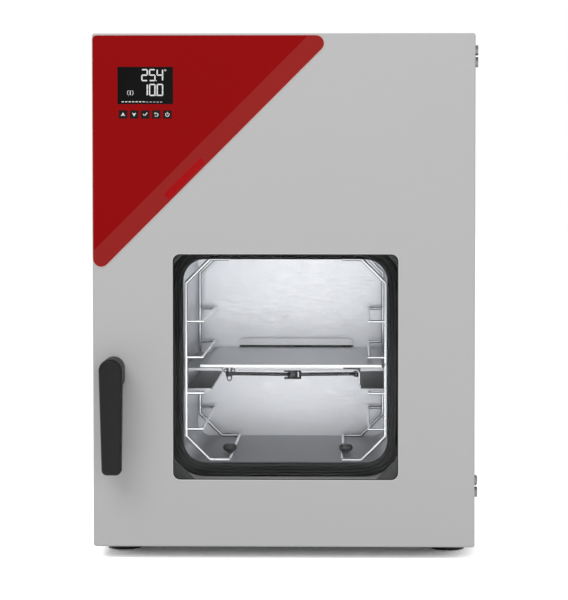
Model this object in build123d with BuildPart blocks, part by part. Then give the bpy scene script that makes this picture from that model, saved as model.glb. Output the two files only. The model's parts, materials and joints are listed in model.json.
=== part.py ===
"""Vacuum drying oven: a stainless chamber behind a sprung glass pane, in a sheet-steel housing.

Millimetres. +X is to the right of someone facing the door, +Y points to the back, +Z is up.
The origin is on the floor, under the middle of the oven's bounding box. Sketches use three kinds
of plane, all measured from the housing's middle and the door's front face: facing(depth) as seen
from the front, level(height) as seen from above and beside(x) as seen from the right.
"""

import os
from math import atan2, cos, radians, sin, sqrt

from build123d import *

os.makedirs("parts", exist_ok=True)

# ---- driving dimensions: housing and door
housing_width = 515.0
housing_height = 692.5
rear_space = 79.0
ground_clearance = 18.0
door_depth = 55.0
door_gap = 5.0
sheet = 1.5
case_sheet = 1.2
pan_flange = 15.0
door_corner_radius = 3.5
handle_reach = 48.0
port_reach = 40.0
tray_lip = 30.0
base_vent_size = (8.0, 90.0)
base_vent_pitch = 28.0
base_vent_count = 6
foot_diameter = 47.0
foot_inset_x = 32.5
foot_inset_front = 97.0
foot_inset_rear = 60.0
foot_screw_diameter = 8.0
foot_screw_grip = 11.0
foot_hole_clearance = 0.2
nut_width = 13.0
nut_height = 5.0

# ---- driving dimensions: chamber, seal and pane
chamber_width = 285.0
chamber_height = 285.0
chamber_depth = 295.0
chamber_wall = 4.0
chamber_corner_radius = 20.0
chamber_floor_height = 103.3
mouth_depth = 70.0
seal_width = 18.0
seal_overhang = 2.0
seal_inner_radius = 30.0
seal_front_depth = 58.0
seal_frame_gap = 0.5
flange_border = 14.0
ridge_count = 3
ridge_height = 2.0
ridge_share = 0.62
pane_thickness = 12.0
pane_overlap = 4.0
pane_clearance = 0.3
pane_travel = 3.0
pane_corner_cut = 40.0
pane_bevel = 4.0
pane_side_gap = 2.0
retainer_gap = 1.5
retainer_reach = 10.0
window_width = 305.0
window_height = 306.0
window_radius = 10.0
window_shift = 2.5
window_drop = 2.3
shield_thickness = 4.0
shield_border = 12.0
ledge_setback = 15.0
ledge_side_margin = 3.3
ledge_overlap = 1.5
spring_diameter = 4.6
spring_edge_gap = 0.6
spring_half_pitch = 90.0
cup_clearance = 0.3
cup_wall = 1.0
cup_depth = 7.0

# ---- driving dimensions: hinge and latch
hinge_inset = 9.0
hinge_pin_diameter = 8.0
hinge_heights = (60.0, 642.0)
hinge_screw_pitch = 16.0
hinge_screw_diameter = 8.0
hinge_screw_head = 14.0
hinge_screw_length = 14.0
hinge_screw_inset = 9.5
hinge_socket_size = 5.6
hinge_socket_depth = 2.6
screw_head_height = 4.4
bracket_width = 16.0
bracket_height = 8.0
bracket_reach = 12.0
bracket_plate_size = (40.0, 60.0)
bracket_plate_thickness = 6.0
notch_width = 30.0
notch_clearance = 1.5
arm_top_gap = 0.5
leaf_border = 8.0
leaf_width = 30.0
leaf_depth = 40.0
leaf_lead = 34.0
pin_share = 0.7
running_clearance = 0.05
handle_inset = 28.7
handle_height = 242.5
lever_length = 155.0
lever_top_width = 31.4
lever_bottom_width = 25.0
lever_thickness = 16.0
lever_neck_length = 45.0
lever_edge_radius = 4.0
shaft_diameter = 12.0
shaft_rest = 0.1
bushing_wall = 3.0
bushing_collar = 6.0
bushing_collar_height = 1.0
cam_length = 14.0
cam_thickness = 6.0
cam_hub_radius = 11.0
cam_tip_radius = 7.0
cam_gap = 4.0
latch_box_width = 48.0
latch_box_height = 56.0
latch_box_depth = 22.0
latch_box_shift = 0.8
strike_height = 8.0
strike_thickness = 2.0

# ---- driving dimensions: controls
triangle_leg = 326.0
triangle_inset = 1.3
triangle_top_inset = 3.0
triangle_thickness = 1.2
triangle_tip_radius = 10.8
triangle_top_radius = 5.0
band_width = 26.0
band_edge_thickness = 0.4
lens_length = 70.0
lens_width = 9.4
lens_inset = 7.9
lens_along = 182.0
display_width = 74.7
display_height = 50.0
display_inset = 34.6
display_drop = 44.9
display_depth = 16.0
display_border = 3.0
key_size = 10.6
key_proud = 0.3
key_length = 4.5
key_flange_border = 1.5
key_flange_thickness = 1.2
key_flange_gap = 0.3
board_thickness = 1.6
board_margin = 4.0
key_clearance = 0.3
key_pitch = 14.9
key_drop = 108.7
key_inset = 42.0
key_travel = 0.8
key_names = ("up", "down", "ok", "back", "standby")

# ---- driving dimensions: wire frames and expansion rack
upright_diameter = 5.0
support_diameter = 4.0
long_rod_diameter = 4.6
support_pitch = 50.1
support_first_height = 45.1
support_count = 4
upright_setback = 4.0
front_upright_depth = 88.0
rear_upright_depth = 348.0
support_reach = 22.5
frame_foot_reach = 64.0
frame_bend = 33.0
knob_diameter = 20.8
knob_height = 7.5
knob_edge = 2.5
knob_stem_diameter = 4.0
knob_shift = 4.7
knob_depth = 178.0
rack_x = 7.5
plate_thickness = 3.5
plate_width = 251.0
plate_depth = 280.0
plate_front_depth = 75.0
lip_width = 172.0
lip_height = 13.0
lip_radius = 8.0
lip_thickness = 2.0
jaw_height = 32.0
jaw_width = 38.0
left_flange_width = 53.0
jaw_length = 241.0
jaw_thickness = 3.4
jaw_plate_gap = 3.2
rest_clearance = 0.3
link_length = 90.5
link_rest_angle = 6.0
link_travel_angle = 12.0
link_diameter = 5.0
pivot_diameter = 4.0
pivot_gap = 0.4
eye_wall = 3.0
link_depth = 127.0
link_drop = 8.4
bar_width = 12.0
clip_x = 8.5
clip_width = 24.0
clip_web = 3.0
knee_eye_radius = 7.0
knee_slack = 1.3
rivet_depths = (150.0, 290.0)
rivet_inset = 14.0
guide_inset = 7.0
guide_slack = 0.6
rivet_diameter = 5.0
rivet_head = 1.2
rivet_head_border = 2.0
anchor_front = 100.0
anchor_length = 26.0
anchor_sheet = 2.5
anchor_leg_bottom = 227.0
anchor_flange = 24.0

# ---- driving dimensions: services
port_bore = 16.0
port_tube = 20.0
port_flange = 30.0
port_recess = 17.2
port_recess_depth = 3.0
port_spacing = 90.0
port_setback = 35.0
port_rise = 26.0
port_root = 0.5
port_flange_thickness = 3.0
port_cone_height = 1.3
port_cone_taper = 75.0
elbow_cut = 22.0
insulation_thickness = 52.0
mat_thickness = 2.0
mat_end_gap = 14.0
mat_shortening = 75.0
ring_thickness = 1.0
blank_thickness = 5.0
blank_setback = 9.0
clamp_wall = 5.0
clamp_lug_size = (14.0, 12.0)
clamp_screw_diameter = 5.0
sensor_radius = 5.0
sensor_head = 8.0
gauge_size = (24.0, 44.0, 22.0)
valve_size = (60.0, 52.0, 40.0)
valve_setback = 30.0
valve_coil_radius = 9.0
valve_coil_length = 30.0
nozzle_shift = 75.0
nozzle_rise = 8.0
nozzle_diameter = 10.0
nozzle_bore = 5.0
nozzle_length = 28.0
nozzle_barb = 8.0
tray_rise = 34.0
electronics_lip = 20.0
supply_size = (110.0, 160.0, 48.0)
board_size = (190.0, 150.0)
board_sheet = 1.6
board_spacer_height = 8.0
board_inset = 10.0
rocker_width = 16.0
rocker_height = 24.0
inlet_x = 190.0
inlet_rise = 60.0
inlet_width = 27.0
inlet_height = 47.0
switch_rise = 40.0
switch_height = 30.0
ethernet_rise = 52.0
ethernet_width = 16.0
ethernet_height = 14.0
rear_screw_diameter = 4.0
rear_screw_head = 8.8
rear_screw_rows = 3

# ---- places worked out from the driving dimensions
centre_x = -screw_head_height / 2
case_front = door_depth + door_gap
chamber_rear = mouth_depth + chamber_depth
insulation_back = chamber_rear + chamber_wall + insulation_thickness
case_back = insulation_back + rear_space
housing_depth = case_back - case_front
front_y = (handle_reach - case_back - port_reach) / 2
bottom = ground_clearance
top = bottom + housing_height
half_width = housing_width / 2
inner_half_width = half_width - case_sheet
chamber_floor = bottom + chamber_floor_height
chamber_middle = chamber_floor + chamber_height / 2
seal_opening = chamber_width - 2 * seal_overhang
seal_outer = seal_opening + 2 * seal_width
seal_outer_radius = seal_inner_radius + seal_width
flange_back = mouth_depth + 6
flange_size = seal_outer + 2 * flange_border
frame_front = case_front + sheet
pane_size = seal_outer + 2 * pane_overlap
pane_back = seal_front_depth - pane_clearance
pane_front = pane_back - pane_thickness
pocket_size = pane_size + 2 * pane_side_gap
window_middle = chamber_middle - window_drop
hinge_x = half_width - hinge_inset
hinge_depth = door_depth - hinge_inset
handle_x = handle_inset - half_width
handle_z = bottom + handle_height


# ---- sketch planes
def facing(depth):
    """Seen from the front: x from the housing's middle, y is the height above the floor."""
    return Plane(origin=(centre_x, front_y + depth, 0), x_dir=(1, 0, 0), z_dir=(0, -1, 0))


def level(height):
    """Seen from above: x from the housing's middle, y is the depth behind the door's face."""
    return Plane(origin=(centre_x, front_y, height), x_dir=(1, 0, 0), z_dir=(0, 0, 1))


def beside(x):
    """Seen from the right: x is the depth behind the door's face, y is the height."""
    return Plane(origin=(centre_x + x, front_y, 0), x_dir=(0, 1, 0), z_dir=(1, 0, 0))


def finish(part, name):
    """Label a finished piece and write it under its own name."""
    part.label = name
    export_step(part, f"parts/{name}.step")


def rounded_frame(width, height, radius, border):
    """Sketch a picture-frame outline whose border lies inside width by height."""
    RectangleRounded(width, height, radius)
    RectangleRounded(width - 2 * border, height - 2 * border, max(radius - border, 1), mode=Mode.SUBTRACT)


# ==== housing ====
with BuildPart() as outer_case:
    with BuildSketch(facing(case_front)) as case_outline:
        with Locations((0, bottom + housing_height / 2)):
            RectangleRounded(housing_width, housing_height, door_corner_radius)
        with Locations((0, bottom + (housing_height - case_sheet) / 2)):
            Rectangle(housing_width - 2 * case_sheet, housing_height - case_sheet, mode=Mode.SUBTRACT)
    extrude(amount=-housing_depth)
finish(outer_case.part, "outer_case")

latch_box_x = handle_x + latch_box_shift
pan_width = housing_width - 2 * case_sheet
pan_height = housing_height - case_sheet
pan_middle = bottom + pan_height / 2
tray_length = housing_depth - 2 * pan_flange

with BuildPart() as front_frame:
    with BuildSketch(facing(case_front)):
        with Locations((0, pan_middle)):
            Rectangle(pan_width, pan_height)
    extrude(amount=-pan_flange)
    pan_back_face = front_frame.faces().sort_by(Axis.Y)[-1]
    offset(amount=-sheet, openings=pan_back_face)
    with BuildSketch(facing(case_front)):
        with Locations((0, chamber_middle)):
            seal_way = seal_outer + 2 * seal_frame_gap
            RectangleRounded(seal_way, seal_way, seal_outer_radius + seal_frame_gap)
        with Locations((latch_box_x, handle_z)):
            RectangleRounded(latch_box_width, latch_box_height, 3)
        for height in hinge_heights:
            with Locations((hinge_x - 1, bottom + height)):
                Rectangle(bracket_width, bracket_height)
    extrude(amount=-sheet, mode=Mode.SUBTRACT)
finish(front_frame.part, "front_frame")

with BuildPart() as latch_box:
    with BuildSketch(facing(frame_front)):
        with Locations((latch_box_x, handle_z)):
            Rectangle(latch_box_width + 2 * sheet, latch_box_height + 2 * sheet)
            Rectangle(latch_box_width, latch_box_height, mode=Mode.SUBTRACT)
    extrude(amount=sheet - latch_box_depth)
    with BuildSketch(facing(case_front + latch_box_depth)):
        with Locations((latch_box_x, handle_z)):
            Rectangle(latch_box_width + 2 * sheet, latch_box_height + 2 * sheet)
    extrude(amount=-sheet)
    with BuildSketch(facing(frame_front)):
        with Locations((latch_box_x, handle_z + (strike_height - latch_box_height) / 2)):
            Rectangle(latch_box_width, strike_height)
    extrude(amount=-strike_thickness)
finish(latch_box.part, "latch_box")

foot_places = [
    (side * (half_width - foot_inset_x), depth)
    for side in (-1, 1)
    for depth in (foot_inset_front, case_back - foot_inset_rear)
]


def tray(height, lip):
    """A sheet bent up along both sides, which spans the housing between the pans."""
    with BuildPart() as body:
        with BuildSketch(facing(case_front + pan_flange)):
            with Locations((0, height + lip / 2)):
                Rectangle(pan_width, lip)
            with Locations((0, height + lip / 2 + sheet)):
                Rectangle(pan_width - 2 * sheet, lip, mode=Mode.SUBTRACT)
        extrude(amount=-tray_length)
    return body.part


with BuildPart() as base_plate:
    add(tray(bottom, tray_lip))
    with BuildSketch(level(bottom)):
        with Locations(*foot_places):
            Circle(foot_screw_diameter / 2 + foot_hole_clearance)
        with Locations((0, (case_front + case_back) / 2)):
            with GridLocations(base_vent_pitch, 0, base_vent_count, 1):
                Rectangle(*base_vent_size)
    extrude(amount=sheet, mode=Mode.SUBTRACT)
finish(base_plate.part, "base_plate")

with BuildPart() as feet:
    with BuildSketch(level(0)):
        with Locations(*foot_places):
            Circle(foot_diameter / 2)
    extrude(amount=bottom)
    with BuildSketch(level(bottom)):
        with Locations(*foot_places):
            Circle(foot_screw_diameter / 2 + foot_hole_clearance)
    extrude(amount=-foot_screw_grip, mode=Mode.SUBTRACT)
finish(feet.part, "feet")

with BuildPart() as foot_screws:
    with BuildSketch(level(bottom - foot_screw_grip)):
        with Locations(*foot_places):
            Circle(foot_screw_diameter / 2)
    extrude(amount=foot_screw_grip + sheet + nut_height + 2)
    with BuildSketch(level(bottom + sheet)):
        with Locations(*foot_places):
            RegularPolygon(nut_width / 2, 6, major_radius=False)
    extrude(amount=nut_height)
finish(foot_screws.part, "foot_screws")


# ==== chamber, insulation and heating ====
port_places = (-port_spacing / 2, port_spacing / 2)
port_depth = chamber_rear - port_setback

with BuildPart() as chamber:
    with BuildSketch(facing(mouth_depth)):
        with Locations((0, chamber_middle)):
            RectangleRounded(
                chamber_width + 2 * chamber_wall,
                chamber_height + 2 * chamber_wall,
                chamber_corner_radius + chamber_wall,
            )
    extrude(amount=-chamber_depth - chamber_wall)
    with BuildSketch(facing(frame_front)):
        with Locations((0, chamber_middle)):
            RectangleRounded(flange_size, flange_size, seal_outer_radius + flange_border)
    extrude(amount=frame_front - flange_back)
    with BuildSketch(facing(frame_front)):
        with Locations((0, chamber_middle)):
            RectangleRounded(seal_outer, seal_outer, seal_outer_radius)
    extrude(amount=frame_front - mouth_depth, mode=Mode.SUBTRACT)
    with BuildSketch(facing(mouth_depth)):
        with Locations((0, chamber_middle)):
            RectangleRounded(chamber_width, chamber_height, chamber_corner_radius)
    extrude(amount=-chamber_depth, mode=Mode.SUBTRACT)
    with BuildSketch(level(chamber_floor + chamber_height - 1)):
        with Locations(*[(x, port_depth) for x in port_places]):
            Circle(port_tube / 2)
    extrude(amount=chamber_wall + 1, mode=Mode.SUBTRACT)
finish(chamber.part, "chamber")

with BuildPart() as chamber_seal:
    with BuildSketch(facing(mouth_depth)):
        with Locations((0, chamber_middle)):
            rounded_frame(seal_outer, seal_outer, seal_outer_radius, seal_width)
    extrude(amount=mouth_depth - seal_front_depth - ridge_height)
    ridge_pitch = seal_width / ridge_count
    with BuildSketch(facing(seal_front_depth + ridge_height)):
        with Locations((0, chamber_middle)):
            for ridge in range(ridge_count):
                edge = seal_outer - 2 * ridge * ridge_pitch
                radius = seal_outer_radius - ridge * ridge_pitch
                border = ridge_pitch * ridge_share
                RectangleRounded(edge, edge, radius)
                RectangleRounded(edge - 2 * border, edge - 2 * border, radius - border, mode=Mode.SUBTRACT)
    extrude(amount=ridge_height)
finish(chamber_seal.part, "chamber_seal")

mat_width = chamber_width - 2 * chamber_corner_radius
mat_length = chamber_depth - mat_shortening
mat_reach = (chamber_width + mat_thickness) / 2 + chamber_wall

with BuildPart() as heating_mats:
    with BuildSketch(facing(flange_back + mat_end_gap)):
        with Locations((-mat_reach, chamber_middle), (mat_reach, chamber_middle)):
            Rectangle(mat_thickness, mat_width)
        with Locations((0, chamber_middle - mat_reach), (0, chamber_middle + mat_reach)):
            Rectangle(mat_width, mat_thickness)
    extrude(amount=-mat_length)
finish(heating_mats.part, "heating_mats")

insulation_hole = chamber_width + 2 * (chamber_wall + mat_thickness)
insulation_size = insulation_hole + 2 * insulation_thickness

with BuildPart() as insulation:
    with BuildSketch(facing(flange_back)):
        with Locations((0, chamber_middle)):
            Rectangle(insulation_size, insulation_size)
    extrude(amount=flange_back - insulation_back)
    with BuildSketch(facing(flange_back)):
        with Locations((0, chamber_middle)):
            Rectangle(insulation_hole, insulation_hole)
    extrude(amount=flange_back - chamber_rear - chamber_wall, mode=Mode.SUBTRACT)
    with BuildSketch(level(chamber_middle)):
        with Locations(*[(x, port_depth) for x in port_places]):
            Circle(port_tube / 2 + 2)
        with Locations((0, port_depth)):
            Circle(sensor_radius)
    extrude(amount=insulation_size, mode=Mode.SUBTRACT)
finish(insulation.part, "insulation")


# ==== wire frames and their fixings ====
wall_x = chamber_width / 2
upright_x = wall_x - upright_setback
foot_x = wall_x - frame_foot_reach
support_x = wall_x - support_reach - support_diameter
rod_floor = chamber_floor + upright_diameter / 2
rod_ceiling = chamber_floor + chamber_height - upright_diameter / 2 - rest_clearance
support_heights = [
    chamber_floor + support_first_height + step * support_pitch for step in range(support_count)
]


def wire_frame(side):
    """One side's welded frame: two bent uprights, two long rods and the shelf supports."""
    with BuildPart() as frame:
        for depth in (front_upright_depth, rear_upright_depth):
            with BuildLine(facing(depth)) as bent_rod:
                Polyline(
                    (side * foot_x, rod_floor),
                    (side * (upright_x - frame_bend), rod_floor),
                    (side * upright_x, rod_floor + frame_bend),
                    (side * upright_x, rod_ceiling - frame_bend),
                    (side * (upright_x - frame_bend), rod_ceiling),
                    (side * foot_x, rod_ceiling),
                )
            with BuildSketch(Plane(bent_rod.line @ 0, z_dir=bent_rod.line % 0)):
                Circle(upright_diameter / 2)
            sweep(path=bent_rod.line, transition=Transition.RIGHT)
        with BuildSketch(facing(front_upright_depth)):
            with Locations((side * foot_x, rod_floor), (side * foot_x, rod_ceiling)):
                Circle(long_rod_diameter / 2)
        extrude(amount=front_upright_depth - rear_upright_depth)
        for height in support_heights:
            with BuildLine(level(height)) as support:
                Polyline(
                    (side * upright_x, front_upright_depth),
                    (side * support_x, front_upright_depth),
                    (side * support_x, rear_upright_depth),
                    (side * upright_x, rear_upright_depth),
                )
            with BuildSketch(Plane(support.line @ 0, z_dir=support.line % 0)):
                Circle(support_diameter / 2)
            sweep(path=support.line, transition=Transition.RIGHT)
    return frame.part


finish(wire_frame(-1), "wire_frame_left")
finish(wire_frame(1), "wire_frame_right")

knob_bottom = rod_floor + long_rod_diameter / 2 + rest_clearance
knob_places = [(side * (foot_x + knob_shift), knob_depth) for side in (-1, 1)]

with BuildPart() as rack_studs:
    with BuildSketch(level(knob_bottom)):
        with Locations(*knob_places):
            Circle(knob_diameter / 2)
    extrude(amount=knob_height)
    chamfer(rack_studs.edges().filter_by(GeomType.CIRCLE), knob_edge)
    with BuildSketch(level(chamber_floor)):
        with Locations(*knob_places):
            Circle(knob_stem_diameter / 2)
    extrude(amount=knob_bottom - chamber_floor)
finish(rack_studs.part, "rack_studs")


# ==== door ====
door_middle = bottom + housing_height / 2
leaf_height = hinge_screw_pitch + 2 * leaf_border
leaf_front = hinge_depth - leaf_lead
leaf_bottoms = [bottom + height + bracket_height / 2 + arm_top_gap for height in hinge_heights]
screw_heights = [
    base + leaf_height / 2 + step * hinge_screw_pitch / 2 for base in leaf_bottoms for step in (-1, 1)
]
screw_depth = leaf_front + hinge_screw_inset
hinge_screw_places = [(screw_depth, height) for height in screw_heights]
notch_front = hinge_depth - bracket_width / 2 - 4
notch_x = half_width + 3 - notch_width / 2
notch_places = [(notch_x, bottom + height) for height in hinge_heights]
key_places = [
    (key_inset - half_width + step * key_pitch, top - key_drop) for step in range(len(key_names))
]
key_way = key_size + 2 * key_clearance
display_x = display_inset - half_width + display_width / 2
display_z = top - display_drop - display_height / 2


with BuildPart() as door_shell:
    with BuildSketch(facing(0)):
        with Locations((0, door_middle)):
            Rectangle(housing_width, housing_height)
    extrude(amount=-door_depth)
    fillet(door_shell.edges().filter_by(Axis.Y), door_corner_radius)
    fillet(door_shell.faces().sort_by(Axis.Y)[0].edges(), door_corner_radius - 1)
    door_back = door_shell.faces().sort_by(Axis.Y)[-1]
    offset(amount=-sheet, openings=door_back)
    with BuildSketch(facing(0)):
        with Locations((window_shift, window_middle)):
            RectangleRounded(window_width, window_height, window_radius)
        with Locations((display_x, display_z)):
            Rectangle(display_width, display_height)
        with Locations(*key_places):
            Rectangle(key_way, key_way)
        with Locations((handle_x, handle_z)):
            Circle(shaft_diameter / 2 + bushing_wall)
    extrude(amount=-sheet, mode=Mode.SUBTRACT)
    with BuildSketch(facing(notch_front)):
        with Locations(*notch_places):
            Rectangle(notch_width, bracket_height + 2 * notch_clearance)
    extrude(amount=notch_front - door_depth, mode=Mode.SUBTRACT)
    with BuildSketch(beside(half_width - sheet)):
        with Locations(*hinge_screw_places):
            Circle(hinge_screw_diameter / 2)
    extrude(amount=sheet, mode=Mode.SUBTRACT)
finish(door_shell.part, "door_shell")

liner_width = housing_width - 2 * sheet
liner_height = housing_height - 2 * sheet

with BuildPart() as door_liner:
    with BuildSketch(facing(door_depth - sheet)):
        with Locations((0, door_middle)):
            RectangleRounded(liner_width, liner_height, door_corner_radius - sheet)
        with Locations((0, chamber_middle)):
            Rectangle(pocket_size, pocket_size, mode=Mode.SUBTRACT)
        with Locations((handle_x, handle_z)):
            Circle(shaft_diameter / 2 + bushing_wall, mode=Mode.SUBTRACT)
        with Locations(*notch_places):
            Rectangle(notch_width, bracket_height + 2 * notch_clearance, mode=Mode.SUBTRACT)
    extrude(amount=-sheet)
finish(door_liner.part, "door_liner")

carrier_front = sheet + shield_thickness + 1
ledge_front = pane_front - ledge_setback - sheet
ledge_opening = window_width + 2 * ledge_side_margin
spring_x = pane_size / 2 - spring_diameter / 2 - spring_edge_gap
spring_places = [
    (x * spring_x, chamber_middle + z * spring_half_pitch) for x in (-1, 1) for z in (-1, 1)
]

with BuildPart() as pane_carrier:
    with BuildSketch(facing(carrier_front)):
        with Locations((0, chamber_middle)):
            Rectangle(pocket_size + 2 * sheet, pocket_size + 2 * sheet)
            Rectangle(pocket_size, pocket_size, mode=Mode.SUBTRACT)
    extrude(amount=carrier_front + sheet - door_depth)
    with BuildSketch(facing(ledge_front)):
        with Locations((0, chamber_middle)):
            Rectangle(pocket_size, pocket_size)
            Rectangle(ledge_opening, pane_size - 2 * ledge_overlap, mode=Mode.SUBTRACT)
    extrude(amount=-sheet)
    with BuildSketch(facing(ledge_front + sheet)):
        with Locations(*spring_places):
            Circle(spring_diameter / 2 + cup_clearance + cup_wall)
            Circle(spring_diameter / 2 + cup_clearance, mode=Mode.SUBTRACT)
    extrude(amount=-cup_depth)
finish(pane_carrier.part, "pane_carrier")

with BuildPart() as window_shield:
    with BuildSketch(facing(sheet)):
        with Locations((window_shift, window_middle)):
            Rectangle(window_width + 2 * shield_border, window_height + 2 * shield_border)
    extrude(amount=-shield_thickness)
finish(window_shield.part, "window_shield")


def pane_corners(clearance):
    """The outline of the pane, a square with its corners cut off, grown by a clearance."""
    half = pane_size / 2 + clearance
    short = half - pane_corner_cut + clearance * 0.6
    points = []
    for x, z in ((1, 1), (-1, 1), (-1, -1), (1, -1)):
        pair = [(x * half, z * short), (x * short, z * half)]
        points += pair if x * z > 0 else pair[::-1]
    return [(x, z + chamber_middle) for x, z in points]


def pane_body(clearance, front, back):
    """A pane-shaped solid with bevelled corner edges at its back."""
    with BuildPart() as body:
        with BuildSketch(facing(front)):
            with BuildLine():
                Polyline(*pane_corners(clearance), close=True)
            make_face()
        extrude(amount=front - back)
        back_edges = body.faces().sort_by(Axis.Y)[-1].edges()
        diagonal = [edge for edge in back_edges if abs((edge % 0.5).X * (edge % 0.5).Z) > 0.3]
        chamfer(diagonal, pane_bevel)
    return body.part


glass_pane = pane_body(0, pane_front, pane_back)
finish(glass_pane, "glass_pane")

retainer_front = pane_front - 2
retainer_back = pane_back - 1
corner_reach = pane_corner_cut + retainer_reach
pane_way = pane_body(retainer_gap, retainer_front, pane_back + retainer_gap)

with BuildPart() as corner_retainers:
    with BuildSketch(facing(retainer_front)):
        outer = pocket_size / 2
        inner = outer - corner_reach
        for x, z in ((-1, -1), (-1, 1), (1, -1), (1, 1)):
            with BuildLine():
                Polyline(
                    (x * outer, chamber_middle + z * outer),
                    (x * outer, chamber_middle + z * inner),
                    (x * inner, chamber_middle + z * outer),
                    close=True,
                )
            make_face()
    extrude(amount=retainer_front - retainer_back)
    add(pane_way, mode=Mode.SUBTRACT)
finish(corner_retainers.part, "corner_retainers")

spring_front = ledge_front + sheet + pane_travel + cup_clearance
with BuildPart() as pane_springs:
    with BuildSketch(facing(spring_front)):
        with Locations(*spring_places):
            Circle(spring_diameter / 2)
    extrude(amount=spring_front - pane_front)
finish(pane_springs.part, "pane_springs")


# ==== hinges ====
arm_back = frame_front + bracket_reach

with BuildPart() as hinge_brackets:
    for height in hinge_heights:
        with BuildSketch(level(bottom + height - bracket_height / 2)):
            with Locations((hinge_x - 1, (hinge_depth + arm_back) / 2)):
                Rectangle(bracket_width - 2, arm_back - hinge_depth)
            with Locations((hinge_x, hinge_depth)):
                Circle(bracket_width / 2 - 1)
        extrude(amount=bracket_height)
        with BuildSketch(level(bottom + height + bracket_height / 2)):
            with Locations((hinge_x, hinge_depth)):
                Circle(hinge_pin_diameter / 2)
        extrude(amount=arm_top_gap + leaf_height * pin_share)
        with BuildSketch(facing(frame_front)):
            with Locations((inner_half_width - sheet - bracket_plate_size[0] / 2, bottom + height)):
                Rectangle(*bracket_plate_size)
        extrude(amount=-bracket_plate_thickness)
finish(hinge_brackets.part, "hinge_brackets")

with BuildPart() as hinge_leaves:
    for base in leaf_bottoms:
        with BuildSketch(level(base)):
            with Locations((half_width - sheet - leaf_width / 2, leaf_front + leaf_depth / 2)):
                Rectangle(leaf_width, leaf_depth)
            with Locations((hinge_x, hinge_depth)):
                Circle(hinge_pin_diameter / 2 + running_clearance, mode=Mode.SUBTRACT)
        extrude(amount=leaf_height)
    with BuildSketch(beside(half_width - sheet)):
        with Locations(*hinge_screw_places):
            Circle(hinge_screw_diameter / 2)
    extrude(amount=-hinge_screw_length, mode=Mode.SUBTRACT)
finish(hinge_leaves.part, "hinge_leaves")

with BuildPart() as hinge_screws:
    with BuildSketch(beside(half_width)):
        with Locations(*hinge_screw_places):
            Circle(hinge_screw_head / 2)
    extrude(amount=screw_head_height)
    chamfer(hinge_screws.faces().sort_by(Axis.X)[-1].edges(), 1.5)
    with BuildSketch(beside(half_width)):
        with Locations(*hinge_screw_places):
            Circle(hinge_screw_diameter / 2)
    extrude(amount=-hinge_screw_length)
    with BuildSketch(beside(half_width + screw_head_height)):
        with Locations(*hinge_screw_places):
            RegularPolygon(hinge_socket_size / 2, 6)
    extrude(amount=-hinge_socket_depth, mode=Mode.SUBTRACT)
finish(hinge_screws.part, "hinge_screws")


# ==== handle and latch ====
lever_top = handle_z + lever_top_width / 2
lever_end = lever_top - lever_length
cam_front = frame_front + cam_gap
neck_front = -triangle_thickness - bushing_collar_height
shaft_front = neck_front - handle_reach / 2

with BuildPart() as handle_lever:
    with BuildSketch(facing(lever_thickness - handle_reach)):
        with BuildLine():
            top_radius = lever_top_width / 2
            end_radius = lever_bottom_width / 2
            end_z = lever_end + end_radius
            lean = (lever_top_width - lever_bottom_width) / 2
            Polyline(
                (handle_x - top_radius, handle_z),
                (handle_x + lean - end_radius, end_z),
            )
            ThreePointArc(
                (handle_x + lean - end_radius, end_z),
                (handle_x + lean, lever_end),
                (handle_x + lean + end_radius, end_z),
            )
            Polyline(
                (handle_x + lean + end_radius, end_z),
                (handle_x + top_radius, handle_z),
            )
            ThreePointArc(
                (handle_x + top_radius, handle_z),
                (handle_x, lever_top),
                (handle_x - top_radius, handle_z),
            )
        make_face()
    extrude(amount=lever_thickness)
    fillet(handle_lever.faces().sort_by(Axis.Y)[0].edges(), lever_edge_radius)
    chamfer(handle_lever.faces().sort_by(Axis.Y)[-1].edges(), 1)
    with BuildSketch(facing(neck_front)):
        with Locations((handle_x, lever_top - lever_neck_length / 2)):
            SlotOverall(lever_neck_length, lever_top_width - 2, rotation=90)
    extrude(amount=handle_reach - lever_thickness + neck_front + 1)
    with BuildSketch(facing(neck_front)):
        with Locations((handle_x, handle_z)):
            Circle(shaft_diameter / 2)
    extrude(amount=handle_reach / 2 - shaft_rest, mode=Mode.SUBTRACT)
finish(handle_lever.part, "handle_lever")

with BuildPart() as handle_bushing:
    with BuildSketch(facing(-bushing_collar_height)):
        with Locations((handle_x, handle_z)):
            Circle(shaft_diameter / 2 + bushing_collar)
            Circle(shaft_diameter / 2 + running_clearance, mode=Mode.SUBTRACT)
    extrude(amount=-bushing_collar_height)
    with BuildSketch(facing(0)):
        with Locations((handle_x, handle_z)):
            Circle(shaft_diameter / 2 + bushing_wall)
            Circle(shaft_diameter / 2 + running_clearance, mode=Mode.SUBTRACT)
    extrude(amount=-door_depth)
finish(handle_bushing.part, "handle_bushing")

with BuildPart() as handle_shaft:
    with BuildSketch(facing(shaft_front + shaft_rest)):
        with Locations((handle_x, handle_z)):
            Circle(shaft_diameter / 2)
    extrude(amount=shaft_front - cam_front - cam_thickness)
    chamfer(handle_shaft.faces().sort_by(Axis.Y)[-1].edges(), 1)
finish(handle_shaft.part, "handle_shaft")

with BuildPart() as latch_cam:
    with BuildSketch(facing(cam_front)):
        with Locations((handle_x, handle_z)):
            Circle(cam_hub_radius)
        with Locations((handle_x + cam_length / 2, handle_z)):
            Rectangle(cam_length, 2 * cam_tip_radius)
        with Locations((handle_x + cam_length, handle_z)):
            Circle(cam_tip_radius)
        with Locations((handle_x, handle_z)):
            Circle(shaft_diameter / 2, mode=Mode.SUBTRACT)
    extrude(amount=-cam_thickness)
finish(latch_cam.part, "latch_cam")


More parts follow.
